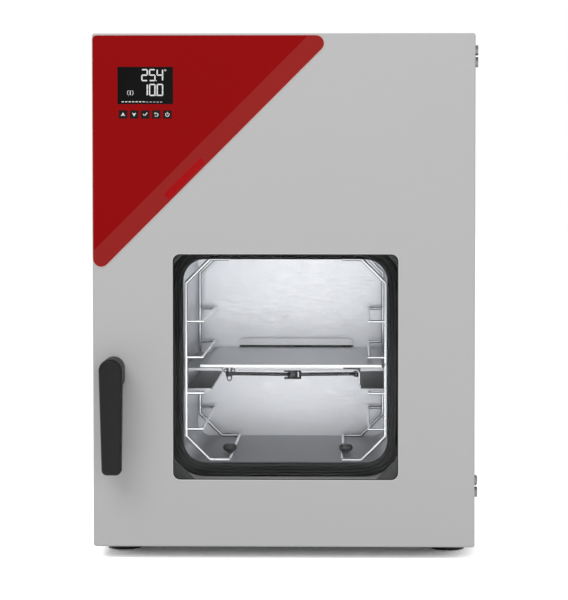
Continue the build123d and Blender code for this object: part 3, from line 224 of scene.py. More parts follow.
finishes = {
    "housing_paint": finish_of(
        "housing_paint", linear(194, 194, 194), 0.5, mottle=0.012, spread=0.05, cloud=5, grain=1400,
        grain_depth=0.00005, grain_strength=0.3, specular=0.25,
    ),
    # Stainless: faces that look up get a darker tone, which is painted shade; they are also a little rougher.
    "stainless": finish_of(
        "stainless", linear(233, 235, 239), 0.4, metallic=1.0, mottle=0.02, spread=0.04, cloud=6,
        grain=500, grain_depth=0.00002, grain_strength=0.12, stretch=(1, 1, 6),
        turned=(linear(196, 197, 200), "Z", 0.2, 0.9), turned_rough=0.12,
    ),
    "wire_steel": finish_of(
        "wire_steel", linear(214, 215, 218), 0.1, metallic=1.0, mottle=0.04, spread=0.04, cloud=40,
        grain=700, grain_depth=0.00002, grain_strength=0.15,
    ),
    "zinc_steel": finish_of(
        "zinc_steel", linear(120, 121, 124), 0.38, metallic=1.0, mottle=0.12, spread=0.1, cloud=60,
        grain=900, grain_depth=0.00003, grain_strength=0.25,
    ),
    # Aluminium: faces that look up get a darker tone, which is painted shade.
    "aluminium": finish_of(
        "aluminium", linear(214, 216, 220), 0.36, metallic=1.0, mottle=0.03, spread=0.05, cloud=12,
        grain=600, grain_depth=0.00002, grain_strength=0.15, stretch=(1, 8, 1),
        turned=(linear(184, 185, 188), "Z", 0.2, 0.9),
    ),
    "black_silicone": finish_of(
        "black_silicone", linear(12, 12, 13), 0.45, mottle=0.15, spread=0.08, cloud=30, grain=1500,
        grain_depth=0.00004, grain_strength=0.3, specular=0.3,
    ),
    "safety_glass": glass_of("safety_glass", 0.0008, 0.1),
    # Red paint: the faint slope along the panel's diagonal gets a lighter red, which is a painted highlight.
    "red_paint": finish_of(
        "red_paint", linear(152, 12, 14), 0.45, mottle=0.06, spread=0.06, cloud=7, grain=1500,
        grain_depth=0.00004, grain_strength=0.3, specular=0.03,
        turned=(linear(156, 40, 38), "X", 0.006, 0.014),
    ),
    "red_lens": finish_of(
        "red_lens", linear(172, 0, 6), 0.22, mottle=0.05, spread=0.04, cloud=25, grain=800,
        grain_depth=0.00002, grain_strength=0.1, specular=0.08,
    ),
    "display_black": finish_of(
        "display_black", linear(8, 8, 9), 0.16, mottle=0.1, spread=0.03, cloud=30, grain=700,
        grain_depth=0.00001, grain_strength=0.08, specular=0.06,
    ),
    "key_black": finish_of(
        "key_black", linear(12, 11, 12), 0.38, mottle=0.1, spread=0.06, cloud=60, grain=1500,
        grain_depth=0.00003, grain_strength=0.2, specular=0.1,
    ),
    "handle_black": finish_of(
        "handle_black", linear(15, 15, 16), 0.42, mottle=0.12, spread=0.06, cloud=18, grain=1300,
        grain_depth=0.00005, grain_strength=0.35, specular=0.18,
    ),
    "black_plastic": finish_of(
        "black_plastic", linear(22, 22, 23), 0.45, mottle=0.1, spread=0.08, cloud=30, grain=1200,
        grain_depth=0.00004, grain_strength=0.3, specular=0.25,
    ),
    "mineral_wool": finish_of(
        "mineral_wool", linear(196, 184, 140), 0.9, mottle=0.2, spread=0.05, cloud=60, grain=300,
        grain_depth=0.0008, grain_strength=0.8,
    ),
    "heater_silicone": finish_of(
        "heater_silicone", linear(150, 70, 50), 0.6, mottle=0.08, cloud=30, grain=900,
    ),
    "circuit_board": finish_of(
        "circuit_board", linear(30, 100, 60), 0.4, mottle=0.1, cloud=60, grain=900,
    ),
    "spring_steel": finish_of(
        "spring_steel", linear(170, 170, 172), 0.25, metallic=1.0, mottle=0.08, cloud=60, grain=900,
    ),
}
# ---- finishes of pieces that look different from the rest of their slot, some of them darker to paint shade
SEAL_SQUARENESS = 7.0
SEAL_RIDGE = 4.2 * MM


def ridged_seal(node):
    """Black silicone with ridges that run around the node's middle in rounded squares, their crests painted
    lighter as a highlight.
    """
    material, tree, shader = new_material("ridged_seal")
    low, high = box_of(node)
    half_width = (high.x - low.x) / 2
    source = tree.nodes.new("ShaderNodeTexCoord")
    parts = tree.nodes.new("ShaderNodeSeparateXYZ")
    tree.links.new(source.outputs["Object"], parts.inputs["Vector"])
    terms = []
    for axis, middle in (("X", (low.x + high.x) / 2), ("Z", (low.z + high.z) / 2)):
        offset = math_of(tree, "ABSOLUTE", math_of(tree, "SUBTRACT", parts.outputs[axis], middle))
        share = math_of(tree, "DIVIDE", offset, half_width)
        terms.append(math_of(tree, "POWER", share, SEAL_SQUARENESS))
    reach = math_of(tree, "POWER", math_of(tree, "ADD", *terms), 1 / SEAL_SQUARENESS)
    ridge = math_of(tree, "SINE", math_of(tree, "MULTIPLY", reach, half_width / SEAL_RIDGE * 2 * pi))
    wear = noise(tree, source.outputs["Object"], 30, 4)
    # The ridges' crests are painted lighter, a painted highlight that a wear noise varies at random.
    crest_sheen_and_wear = math_of(tree, "MULTIPLY", map_range(tree, ridge, (-0.2, 1.0)), ramp(tree, wear, 0.6, 1.0))
    tone = blend(tree, crest_sheen_and_wear, linear(7, 7, 8), linear(52, 53, 54))
    tree.links.new(tone, shader.inputs["Base Color"])
    tree.links.new(ramp(tree, wear, 0.4, 0.55), shader.inputs["Roughness"])
    tree.links.new(bump(tree, ridge, 0.8, 0.0006), shader.inputs["Normal"])
    shader.inputs["Specular IOR Level"].default_value = 0.2
    return material


# The pane carrier gets a dark grey instead of its paint, which is painted shade behind the window's edge.
carrier_shade_grey = finish_of(
    "carrier_shade_grey", linear(44, 44, 45), 0.5, mottle=0.05, cloud=20, grain=1200, specular=0.2,
)
stud_steel = finish_of(
    "stud_steel", linear(84, 84, 86), 0.42, metallic=1.0, mottle=0.12, spread=0.08, cloud=60,
)
# The corner retainers get a mid-grey darker than the door's paint, which is painted shade inside the window.
retainer_shade_grey = finish_of(
    "retainer_shade_grey", linear(96, 97, 97), 0.5, mottle=0.05, cloud=30, grain=1200,
)
link_steel = finish_of(
    "link_steel", linear(70, 70, 72), 0.3, metallic=1.0, mottle=0.1, cloud=60,
)
shaded_aluminium = finish_of(
    "shaded_aluminium", linear(170, 171, 174), 0.36, metallic=1.0, mottle=0.04, cloud=12,
    turned=(linear(120, 121, 124), "Z", 0.2, 0.9),
)
port_steel = finish_of(
    "port_steel", linear(168, 169, 172), 0.34, metallic=1.0, mottle=0.03, spread=0.05, cloud=30,
    grain_depth=0.00002, grain_strength=0.15,
)
PORT_FITTINGS = (
    "vacuum_port", "measuring_port", "centring_ring", "blank_flange", "port_clamp", "valve_block",
    "pressure_sensor", "temperature_sensor",
)
special_finishes = {
    "chamber_seal": ridged_seal("chamber_seal"),
    "pane_carrier": carrier_shade_grey,
    "rack_studs": stud_steel,
    "corner_retainers": retainer_shade_grey,
    **dict.fromkeys(("link_left", "link_right", "link_anchor"), link_steel),
    **dict.fromkeys(("left_jaw", "right_jaw"), shaded_aluminium),
    **dict.fromkeys(PORT_FITTINGS, port_steel),
}

for part in frame["record"]["subparts"]:
    node = frame["nodes"][part["node"]]
    finish = special_finishes.get(part["node"], finishes[part["material_slot"]])
    for slot in node.material_slots:
        slot.material = finish


# ---- shapes for the trim
# Faces that meet at a smaller angle than this are shaded as one surface.
SMOOTH_ANGLE = radians(35)


def flat_piece(name, outlines, front, depth, finish, body):
    """A thin plaque of outlines seen from the front, as (x, z) points, raised to its front plane."""
    mesh = bpy.data.meshes.new(name)
    shape = bmesh.new()
    for outline in outlines:
        corners = [shape.verts.new((x, front + depth, z)) for x, z in outline]
        face = shape.faces.new(corners)
        grown = bmesh.ops.extrude_face_region(shape, geom=[face])
        raised = [item for item in grown["geom"] if isinstance(item, bmesh.types.BMVert)]
        bmesh.ops.translate(shape, verts=raised, vec=(0, -depth, 0))
    write_mesh(shape, mesh)
    return place_piece(name, mesh, finish, body)


def write_mesh(shape, mesh):
    """Turns a closed bmesh outwards, smooths it except at its corners and writes it to a mesh."""
    bmesh.ops.recalc_face_normals(shape, faces=shape.faces)
    for face in shape.faces:
        face.smooth = True
    for edge in shape.edges:
        edge.smooth = edge.calc_face_angle(0) < SMOOTH_ANGLE
    shape.to_mesh(mesh)
    shape.free()


def place_piece(name, data, finish, body):
    """An object for mesh or curve data, finished and carried by a body."""
    piece = bpy.data.objects.new(name, data)
    bpy.context.scene.collection.objects.link(piece)
    data.materials.append(finish)
    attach(piece, body)
    return piece


def wire(name, points, diameter, finish, body, closed=False):
    """A round wire along points."""
    curve = bpy.data.curves.new(name, "CURVE")
    curve.dimensions = "3D"
    curve.bevel_depth = diameter / 2
    curve.bevel_resolution = 4
    curve.use_fill_caps = True
    spline = curve.splines.new("POLY")
    spline.points.add(len(points) - 1)
    for point, place in zip(spline.points, points):
        point.co = (*place, 1)
    spline.use_cyclic_u = closed
    return place_piece(name, curve, finish, body)


def arc(centre, radius, start, end, steps=12):
    """Points on an arc in the (x, z) plane, with angles in degrees from +x towards +z."""
    angles = [radians(start + (end - start) * step / steps) for step in range(steps + 1)]
    return [(centre[0] + radius * cos(angle), centre[1] + radius * sin(angle)) for angle in angles]


def arc_bands(centre, radius, width, start, end, steps=10):
    """A ring or part of one, as short quads side by side."""
    outer = arc(centre, radius, start, end, steps)
    inner = arc(centre, radius - width, start, end, steps)
    return [[outer[i], outer[i + 1], inner[i + 1], inner[i]] for i in range(steps)]


def bar(start, end, width):
    """A straight stroke from start to end."""
    along = Vector((end[0] - start[0], end[1] - start[1])).normalized() * width / 2
    across = Vector((-along.y, along.x))
    first, last = Vector(start) - along, Vector(end) + along
    return [tuple(first + across), tuple(last + across), tuple(last - across), tuple(first - across)]


def rectangle(left, low, right, high):
    """An upright rectangle."""
    return [(left, low), (right, low), (right, high), (left, high)]


# ---- the display: two readings, a degree ring, a status mark and a row of scale bars
SEGMENTS_LIT = {"0": "abcdef", "1": "bc", "2": "abged", "4": "fgbc", "5": "afgcd"}
DIGIT_WIDTH = 7.2 * MM
DIGIT_HEIGHT = 14.6 * MM
DIGIT_PITCH = 10.3 * MM
DIGIT_STROKE = 1.7 * MM
# The gap at each end of a segment, as a share of its stroke.
SEGMENT_GAP = 0.62
DOT_HALF_WIDTH = 0.6 * MM
DOT_DROP = 0.7 * MM
DOT_RISE = 0.5 * MM


def digit(character, left, low, width, height, stroke):
    """The lit segments of a seven-segment digit."""
    right, high, mid = left + width, low + height, low + height / 2
    gap = stroke * SEGMENT_GAP
    ends = {
        "a": ((left + gap, high), (right - gap, high)),
        "b": ((right, high - gap), (right, mid + gap)),
        "c": ((right, mid - gap), (right, low + gap)),
        "d": ((left + gap, low), (right - gap, low)),
        "e": ((left, mid - gap), (left, low + gap)),
        "f": ((left, high - gap), (left, mid + gap)),
        "g": ((left + gap, mid), (right - gap, mid)),
    }
    return [bar(*ends[segment], stroke) for segment in SEGMENTS_LIT[character]]


def reading(text, right, low):
    """A number set in seven-segment digits, with its last digit ending at right."""
    outlines = []
    left = right - DIGIT_WIDTH
    for character in reversed(text):
        if character == ".":
            dot = left + DIGIT_PITCH - (DIGIT_PITCH - DIGIT_WIDTH) / 2
            dot_left, dot_right = dot - DOT_HALF_WIDTH, dot + DOT_HALF_WIDTH
            outlines.append(rectangle(dot_left, low - DOT_DROP, dot_right, low + DOT_RISE))
            continue
        outlines += digit(character, left, low, DIGIT_WIDTH, DIGIT_HEIGHT, DIGIT_STROKE)
        left -= DIGIT_PITCH
    return outlines


SCREEN_FROM_LEFT = 34.6 * MM
SCREEN_FROM_TOP = 44.9 * MM
SCREEN_WIDTH = 74.7 * MM
DIGITS_FROM_RIGHT = 14.0 * MM
READINGS = (("25.4", 18.4 * MM), ("10.0", 38.2 * MM))
RING_STROKE = 0.6 * MM
DEGREE_RADIUS = 1.3 * MM
DEGREE_GAP = 3.6 * MM
DEGREE_DROP = 4.6 * MM
STATUS_FROM_LEFT = 17.2 * MM
STATUS_DROP = 34.8 * MM
STATUS_RADIUS = 4.2 * MM
STATUS_BAR_REACH = 2.4 * MM
STATUS_BAR_STROKE = 1.1 * MM
SCALE_FROM_LEFT = 5.5 * MM
SCALE_DROP = 47.4 * MM
SCALE_PITCH = 4.7 * MM
SCALE_BAR_WIDTH = 3.0 * MM
SCALE_BAR_HEIGHTS = [1.2 * MM] * 7 + [0.6 * MM] * 5
MARK_HEIGHT = 0.15 * MM

lit_white = finish_of(
    "lit_white", linear(238, 240, 238), 0.5, mottle=0.02, cloud=80, grain=1500, specular=0.1,
)
screen_left = door_low.x + SCREEN_FROM_LEFT
screen_top = door_high.z - SCREEN_FROM_TOP
digits_right = screen_left + SCREEN_WIDTH - DIGITS_FROM_RIGHT
screen_marks = []
for text, drop in READINGS:
    screen_marks += reading(text, digits_right, screen_top - drop)
degree_centre = (digits_right + DEGREE_GAP, screen_top - DEGREE_DROP)
screen_marks += arc_bands(degree_centre, DEGREE_RADIUS, RING_STROKE, 0, 360, 12)
status_x, status_z = screen_left + STATUS_FROM_LEFT, screen_top - STATUS_DROP
screen_marks += arc_bands((status_x, status_z), STATUS_RADIUS, RING_STROKE, 125, 235)
screen_marks += arc_bands((status_x, status_z), STATUS_RADIUS, RING_STROKE, -55, 55)
screen_marks.append(bar(
    (status_x, status_z - STATUS_BAR_REACH), (status_x, status_z + STATUS_BAR_REACH), STATUS_BAR_STROKE,
))
for step, height in enumerate(SCALE_BAR_HEIGHTS):
    left = screen_left + SCALE_FROM_LEFT + step * SCALE_PITCH
    low = screen_top - SCALE_DROP
    screen_marks.append(rectangle(left, low, left + SCALE_BAR_WIDTH, low + height))
flat_piece("screen_marks", screen_marks, PANEL_FACE - MARK_HEIGHT, MARK_HEIGHT, lit_white, "door")

# ---- the keys' symbols
THIN_STROKE = 0.9 * MM
ARROW_STROKE = 1.0 * MM
TICK_STROKE = 1.2 * MM
ARROW_BEND = 2.4 * MM
STANDBY_RADIUS = 2.9 * MM
key_white = finish_of(
    "key_white", linear(232, 232, 230), 0.5, mottle=0.02, cloud=80, grain=1500, specular=0.1,
)


def key_icon(name, centre_x, centre_z):
    """The outlines of a key's symbol, from points in millimetres around the key's middle."""

    def at(x, z):
        return centre_x + x * MM, centre_z + z * MM

    if name == "up":
        return [[at(0, 2.8), at(-2.9, -2.4), at(0, -1.1), at(2.9, -2.4)]]
    if name == "down":
        return [[at(0, -2.8), at(2.9, 2.4), at(0, 1.1), at(-2.9, 2.4)]]
    if name == "ok":
        tick = (at(-2.3, 0.0), at(-0.7, -1.8), at(2.4, 2.0))
        return [bar(start, end, TICK_STROKE) for start, end in zip(tick, tick[1:])]
    if name == "back":
        return arc_bands(at(0.6, -0.4), ARROW_BEND, ARROW_STROKE, -95, 90) + [
            [at(-3.0, 1.5), at(-0.7, 3.2), at(-0.7, -0.2)],
            bar(at(-1.0, 1.5), at(0.4, 1.5), ARROW_STROKE),
            bar(at(-1.6, -2.3), at(0.2, -2.3), THIN_STROKE),
        ]
    ring = arc_bands(at(0, -0.2), STANDBY_RADIUS, THIN_STROKE, 125, 415, 16)
    return ring + [bar(at(0, 0.4), at(0, 2.7), THIN_STROKE)]


for name in ("up", "down", "ok", "back", "standby"):
    key_low, key_high = box_of(f"key_{name}")
    key_middle = (key_low + key_high) / 2
    flat_piece(
        f"icon_{name}", key_icon(name, key_middle.x, key_middle.z), key_low.y - MARK_HEIGHT, MARK_HEIGHT,
        key_white, f"button_{name}",
    )


# ---- the beads at the window's edge: a pale one whose lighter paint is a painted highlight, and a black gasket
def rounded_rectangle(centre_x, centre_z, width, height, radius, steps=8):
    """The outline of an upright rectangle with round corners."""
    points = []
    for x, z, start in ((1, 1, 0), (-1, 1, 90), (-1, -1, 180), (1, -1, 270)):
        corner = (centre_x + x * (width / 2 - radius), centre_z + z * (height / 2 - radius))
        points += arc(corner, radius, start, start + 90, steps)
    return points


WINDOW_WIDTH = 305 * MM
WINDOW_HEIGHT = 306 * MM
WINDOW_RADIUS = 10 * MM
WINDOW_SHIFT_X = 2.5 * MM
WINDOW_SHIFT_Z = -2.3 * MM
chamber_low, chamber_high = box_of("chamber")
window_x = DOOR_MIDDLE_X + WINDOW_SHIFT_X
window_z = (chamber_low.z + chamber_high.z) / 2 + WINDOW_SHIFT_Z


def window_bead(name, offset, diameter, depth, finish):
    """A bead that follows the window's edge, offset outwards, its axis at a depth behind the door's face."""
    outline = rounded_rectangle(
        window_x, window_z, WINDOW_WIDTH + 2 * offset, WINDOW_HEIGHT + 2 * offset, WINDOW_RADIUS + offset,
    )
    points = [(x, DOOR_FACE + depth, z) for x, z in outline]
    return wire(name, points, diameter, finish, "door", closed=True)


# The pale bead is painted lighter than the door as a highlight on the cut-out's edge.
edge_highlight_paint = finish_of(
    "edge_highlight_paint", linear(214, 214, 213), 0.4, mottle=0.012, spread=0.05, cloud=5, grain=1400, specular=0.4,
)
window_bead("window_edge", offset=0.2 * MM, diameter=1.7 * MM, depth=0.75 * MM, finish=edge_highlight_paint)
window_bead(
    "window_gasket", offset=-1.3 * MM, diameter=1.4 * MM, depth=1.0 * MM, finish=finishes["black_silicone"],
)


def turned_piece(name, profile, centres, finish, body, steps=32):
    """Turned pieces on upright axes, from one profile of (radius, height) points."""
    mesh = bpy.data.meshes.new(name)
    shape = bmesh.new()
    angles = [2 * pi * step / steps for step in range(steps)]
    for x, y in centres:
        rings = []
        for radius, height in profile:
            if radius == 0:
                points = [(x, y, height)]
            else:
                points = [(x + radius * cos(angle), y + radius * sin(angle), height) for angle in angles]
            rings.append([shape.verts.new(point) for point in points])
        for first, second in zip(rings, rings[1:]):
            for step in range(steps):
                after = (step + 1) % steps
                if len(first) == 1:
                    shape.faces.new((first[0], second[step], second[after]))
                elif len(second) == 1:
                    shape.faces.new((first[step], second[0], first[after]))
                else:
                    shape.faces.new((first[step], second[step], second[after], first[after]))
    write_mesh(shape, mesh)
    return place_piece(name, mesh, finish, body)


def loft_piece(name, lofts, finish, body):
    """Closed solids, each skinned over rings of points and capped at both ends."""
    mesh = bpy.data.meshes.new(name)
    shape = bmesh.new()
    for loft in lofts:
        rings = [[shape.verts.new(point) for point in ring] for ring in loft]
        for first, second in zip(rings, rings[1:]):
            for step in range(len(first)):
                after = (step + 1) % len(first)
                shape.faces.new((first[step], first[after], second[after], second[step]))
        shape.faces.new(rings[0])
        shape.faces.new(rings[-1])
    write_mesh(shape, mesh)
    return place_piece(name, mesh, finish, body)


# ---- the handle's lever: a round top, a squarer end and edges rounded towards the front
LEVER_TOP_RADIUS = 15.7 * MM
LEVER_END_RADIUS = 7.0 * MM
LEVER_END_WIDTH = 26.2 * MM
LEVER_LEAN = 0.9 * MM
LEVER_THICKNESS = 16.0 * MM
LEVER_ROUNDING = 4.0 * MM
NECK_LENGTH = 45.0 * MM
NECK_RADIUS = 14.7 * MM
NECK_SUNK = 2.0 * MM
BACK_CHAMFER = 1.0 * MM
ROUNDING_STEPS = 6
lever_low, lever_high = box_of("handle_lever")
lever_x = (lever_low.x + lever_high.x) / 2


def tangent(first, first_radius, second, second_radius, side):
    """The angle at which a line that touches two circles leaves both, in degrees."""
    gap = Vector(second) - Vector(first)
    lean = acos((first_radius - second_radius) / gap.length)
    return degrees(atan2(gap.y, gap.x) + side * lean) % 360


def lever_ring(inset, y):
    """The lever's outline, drawn in by an inset."""
    top = (lever_x, lever_high.z - LEVER_TOP_RADIUS)
    reach = LEVER_END_WIDTH / 2 - LEVER_END_RADIUS
    left, right = (
        (lever_x + LEVER_LEAN + side * reach, lever_low.z + LEVER_END_RADIUS) for side in (-1, 1)
    )
    turn_right = tangent(top, LEVER_TOP_RADIUS, right, LEVER_END_RADIUS, 1)
    turn_left = tangent(top, LEVER_TOP_RADIUS, left, LEVER_END_RADIUS, -1)
    if turn_right > 180:
        turn_right -= 360
    outline = (
        arc(right, LEVER_END_RADIUS - inset, -90, turn_right)
        + arc(top, LEVER_TOP_RADIUS - inset, turn_right, turn_left, 32)
        + arc(left, LEVER_END_RADIUS - inset, turn_left, 270)
    )
    return [(x, y, z) for x, z in outline]


def neck_ring(y):
    """The outline of the neck that joins the lever to its shaft."""
    high = (lever_x, lever_high.z - NECK_RADIUS)
    low = (lever_x, lever_high.z - NECK_LENGTH + NECK_RADIUS)
    return [(x, y, z) for x, z in arc(high, NECK_RADIUS, 0, 180, 24) + arc(low, NECK_RADIUS, 180, 360, 24)]


rounding = [radians(90 * step / ROUNDING_STEPS) for step in range(ROUNDING_STEPS + 1)]
lever_rings = [
    lever_ring(LEVER_ROUNDING * (1 - sin(turn)), lever_low.y + LEVER_ROUNDING * (1 - cos(turn)))
    for turn in rounding
]
lever_back = lever_low.y + LEVER_THICKNESS
lever_rings += [lever_ring(0, lever_back - BACK_CHAMFER), lever_ring(BACK_CHAMFER, lever_back)]
neck_rings = [neck_ring(lever_back - NECK_SUNK), neck_ring(lever_high.y)]
lever = loft_piece("lever", [lever_rings, neck_rings], finishes["handle_black"], "handle")
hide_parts("handle_lever")

# ---- the knobs that hold the wire frames down, from a profile of (radius, height) in millimetres
KNOB_PROFILE = (
    (0, 12.3), (6.9, 12.3), (7.7, 12.0), (10.2, 8.0), (10.4, 7.3), (10.2, 6.6), (7.7, 2.6), (4.0, 2.4),
    (4.0, 0.0), (0, 0.0),
)
KNOB_WIDEST = max(radius for radius, height in KNOB_PROFILE)
stud_low, stud_high = box_of("rack_studs")
knob_radius = (stud_high.y - stud_low.y) / 2
knob_y = (stud_low.y + stud_high.y) / 2
knobs = turned_piece(
    "rack_knobs",
    [(radius * knob_radius / KNOB_WIDEST, stud_low.z + height * MM) for radius, height in KNOB_PROFILE],
    [(stud_low.x + knob_radius, knob_y), (stud_high.x - knob_radius, knob_y)],
    stud_steel, "housing",
)
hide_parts("rack_studs")

# ---- the pale bead around the triangle panel, a painted highlight on its edge
PANEL_LEG = 326.0 * MM
PANEL_MARGIN = 0.2 * MM
PANEL_TIP_ANGLE = 45
TOP_RADIUS = 5.0 * MM
TIP_RADIUS = 10.8 * MM
EDGE_BEAD = 1.1 * MM
EDGE_OFFSET = 0.5 * MM
panel_left, panel_top = panel_low.x - PANEL_MARGIN, panel_high.z + PANEL_MARGIN
tip_reach = TIP_RADIUS / tan(radians(PANEL_TIP_ANGLE / 2))
right_tip = (panel_left + PANEL_LEG - tip_reach, panel_top - TIP_RADIUS)
low_tip = (panel_left + TIP_RADIUS, panel_top - PANEL_LEG + tip_reach)
panel_edge = (
    arc((panel_left + TOP_RADIUS, panel_top - TOP_RADIUS), TOP_RADIUS + EDGE_OFFSET, 180, 90, 6)
    + arc(right_tip, TIP_RADIUS + EDGE_OFFSET, 90, -45)
    + arc(low_tip, TIP_RADIUS + EDGE_OFFSET, -45, -180)
)
# The bead's pale colour is a painted highlight on the panel's edge.
panel_highlight_paint = finish_of(
    "panel_highlight_paint", linear(214, 196, 193), 0.4, mottle=0.05, cloud=40, grain=900, specular=0.3,
)
wire(
    "panel_edge", [(x, DOOR_FACE - EDGE_BEAD / 3, z) for x, z in panel_edge], EDGE_BEAD, panel_highlight_paint, "door",
    closed=True,
)

# ---- the eyelet on its hook at the left link's pivot
EYE_WIRE = 1.6 * MM
EYE_HALF_WIDTH = 3.2 * MM
EYE_HALF_HEIGHT = 5.0 * MM
EYE_STEPS = 24
PIVOT_FROM_LINK_END = 5.5 * MM
TONGUE_HALF_WIDTH = 5.5 * MM
JAW_SHEET = 2.0 * MM
HOOK_END = 3.0 * MM
HOOK_TOP_REACH = 7.5 * MM
HOOK_REACH = 8.0 * MM
HOOK_BEND_RISE = 1.2 * MM
HOOK_DROP = 5.0 * MM
jaw_high = box_of("left_jaw")[1]
left_link_low, left_link_high = box_of("link_left")
pivot_x = left_link_low.x + PIVOT_FROM_LINK_END
pivot_y = left_link_high.y - TONGUE_HALF_WIDTH
hook_y = left_link_high.y - 2 * TONGUE_HALF_WIDTH - EYE_WIRE / 2
hook_top = (left_link_high.z + jaw_high.z - JAW_SHEET) / 2
hook_bend = left_link_high.z + HOOK_BEND_RISE
hook_low = hook_bend - HOOK_DROP
hook_side = [
    (HOOK_END, pivot_y, hook_top), (HOOK_TOP_REACH, pivot_y, hook_top), (HOOK_REACH, hook_y, hook_bend),
]
hook_outline = (
    [(pivot_x - reach, y, z) for reach, y, z in hook_side]
    + [(pivot_x, hook_y, hook_low)]
    + [(pivot_x + reach, y, z) for reach, y, z in reversed(hook_side)]
)
wire("eyelet_hook", hook_outline, EYE_WIRE, link_steel, "sliding_jaw")
eye_middle = hook_low - EYE_HALF_HEIGHT + EYE_WIRE
eye_angles = [2 * pi * step / EYE_STEPS for step in range(EYE_STEPS)]
eye_outline = [
    (pivot_x + EYE_HALF_WIDTH * cos(angle), hook_y, eye_middle + EYE_HALF_HEIGHT * sin(angle))
    for angle in eye_angles
]
wire("eyelet", eye_outline, EYE_WIRE, link_steel, "sliding_jaw", closed=True)

# ---- the bright stay under the plate
STAY_DIAMETER = 2.2 * MM
STAY_BEND = 6.0 * MM
STAY_CHAMFER = 2.0 * MM
STAY_DROP = 5.7 * MM
STAY_FROM_JAW = 7.0 * MM
STAY_FROM_ANCHOR = 1.7 * MM
STAY_CLEAR = 1.0 * MM
plate_low, plate_high = box_of("shelf_plate")
anchor_low, anchor_high = box_of("link_anchor")
stay_left = jaw_high.x + STAY_FROM_JAW
stay_right = anchor_high.x - STAY_FROM_ANCHOR
stay_height = plate_low.z - STAY_DROP
stay_y = anchor_low.y - STAY_DIAMETER / 2
stay_outline = (
    [(stay_left, plate_low.z), (stay_left, stay_height + STAY_CHAMFER)]
    + [(stay_left + STAY_CHAMFER, stay_height)]
    + arc((stay_right - STAY_BEND, stay_height - STAY_BEND), STAY_BEND, 90, 0)
    + [(stay_right, anchor_low.z + STAY_CLEAR)]
)
wire(
    "plate_stay", [(x, stay_y, z) for x, z in stay_outline], STAY_DIAMETER, finishes["wire_steel"], "housing",
)

# ---- painted shade at the foot of the plate's rear lip: a dark strip where the gap between plate and lip lies in shadow
LIP_THICKNESS = 2.0 * MM
LIP_HEIGHT = 13.0 * MM
LINE_INSET = 39.5 * MM
LINE_HEIGHT = 3.0 * MM
LINE_DEPTH = 0.4 * MM
plate_top = plate_high.z - LIP_HEIGHT
lip_shade_outline = rectangle(plate_low.x + LINE_INSET, plate_top, plate_high.x - LINE_INSET, plate_top + LINE_HEIGHT)
line_front = plate_high.y - LIP_THICKNESS - LINE_DEPTH
# The strip takes the black silicone finish only for its dark colour; it is painted shadow, not a seal.
flat_piece("lip_shade_strip", [lip_shade_outline], line_front, LINE_DEPTH, finishes["black_silicone"], "housing")


# ---- studio
FLOOR_REACH = 12.0
FLOOR_TONE = 0.8
# The floor's tone where it is seen directly, which makes it white.
FLOOR_GAIN = 2.6
# The strength of the white surroundings as light on the object.
FILL_LIGHT = 0.42


def seen_directly(tree):
    """1 for rays from the camera, from a mirror or through glass, and 0 for the rest."""
    path = tree.nodes.new("ShaderNodeLightPath")
    mirrored = math_of(tree, "MAXIMUM", path.outputs["Is Camera Ray"], path.outputs["Is Glossy Ray"])
    return math_of(tree, "MAXIMUM", mirrored, path.outputs["Is Transmission Ray"])


def studio_floor():
    """A pale floor, which looks white to the camera and in reflections and keeps the shadow."""
    mesh = bpy.data.meshes.new("studio_floor")
    corners = [(x, y, 0) for x, y in rectangle(-FLOOR_REACH, -FLOOR_REACH, FLOOR_REACH, FLOOR_REACH)]
    mesh.from_pydata(corners, [], [(0, 1, 2, 3)])
    floor = bpy.data.objects.new("studio_floor", mesh)
    bpy.context.scene.collection.objects.link(floor)
    material = bpy.data.materials.new("studio_floor")
    material.use_nodes = True
    tree = material.node_tree
    tree.nodes.remove(tree.nodes["Principled BSDF"])
    mix = tree.nodes.new("ShaderNodeMixShader")
    tree.links.new(seen_directly(tree), mix.inputs["Fac"])
    for socket, tone in ((1, FLOOR_TONE), (2, FLOOR_GAIN)):
        diffuse = add_node(tree, "ShaderNodeBsdfDiffuse", Color=(tone, tone, tone, 1))
        tree.links.new(diffuse.outputs["BSDF"], mix.inputs[socket])
    tree.links.new(mix.outputs["Shader"], tree.nodes["Material Output"].inputs["Surface"])
    mesh.materials.append(material)


def studio_world():
    """White behind the object, and a softer white as fill light."""
    world = bpy.data.worlds.new("studio")
    bpy.context.scene.world = world
    world.use_nodes = True
    tree = world.node_tree
    background = tree.nodes["Background"]
    background.inputs["Color"].default_value = (1, 1, 1, 1)
    strength = map_range(tree, seen_directly(tree), (0.0, 1.0), (FILL_LIGHT, 1.0))
    tree.links.new(strength, background.inputs["Strength"])


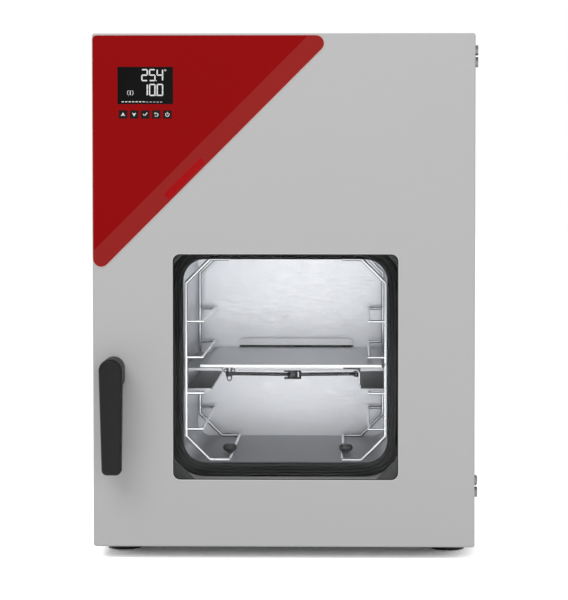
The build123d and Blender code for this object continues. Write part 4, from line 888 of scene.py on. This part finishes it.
def softbox(name, place, target, size, power):
    """A square area light aimed at a point."""
    light = bpy.data.lights.new(name, "AREA")
    light.shape = "SQUARE"
    light.size = size
    light.energy = power
    lamp = bpy.data.objects.new(name, light)
    lamp.location = place
    lamp.rotation_euler = (Vector(target) - Vector(place)).to_track_quat("-Z", "Y").to_euler()
    bpy.context.scene.collection.objects.link(lamp)


studio_floor()
studio_world()
softbox("key_light", place=(-1.2, -2.6, 2.6), target=(0, -0.2, 0.4), size=2.2, power=42)
softbox("side_light", place=(2.2, -1.8, 1.4), target=(0, -0.2, 0.35), size=1.8, power=12)
softbox("front_light", place=(0.3, -3.6, 1.1), target=(0, -0.2, 0.35), size=1.6, power=12)

# ---- camera: aimed a little left and down, with the rest of the framing as lens shift
IMAGE_WIDTH, IMAGE_HEIGHT = 568, 600
SENSOR = 36.0
FOCAL_PIXELS = 2070.0
VANISHING_X, VANISHING_Y = 354.0, 162.0
CAMERA_DISTANCE = 2.780
CAMERA_SIDE = 0.0947
CAMERA_HEIGHT = 0.538
CAMERA_PITCH = radians(1.9)
CAMERA_YAW = radians(0.97)

camera_data = bpy.data.cameras.new("camera")
camera = bpy.data.objects.new("camera", camera_data)
bpy.context.scene.collection.objects.link(camera)
bpy.context.scene.camera = camera
camera_data.sensor_width = SENSOR
camera_data.lens = FOCAL_PIXELS / IMAGE_HEIGHT * SENSOR
axis_x = VANISHING_X - FOCAL_PIXELS * tan(CAMERA_YAW)
axis_y = VANISHING_Y + FOCAL_PIXELS * tan(CAMERA_PITCH)
camera_data.shift_x = (IMAGE_WIDTH / 2 - axis_x) / IMAGE_HEIGHT
camera_data.shift_y = -(IMAGE_HEIGHT / 2 - axis_y) / IMAGE_HEIGHT
camera.location = (DOOR_MIDDLE_X + CAMERA_SIDE, DOOR_FACE - CAMERA_DISTANCE, CAMERA_HEIGHT)
camera.rotation_euler = (pi / 2 - CAMERA_PITCH, 0, CAMERA_YAW)

bpy.context.scene.view_settings.view_transform = "Standard"
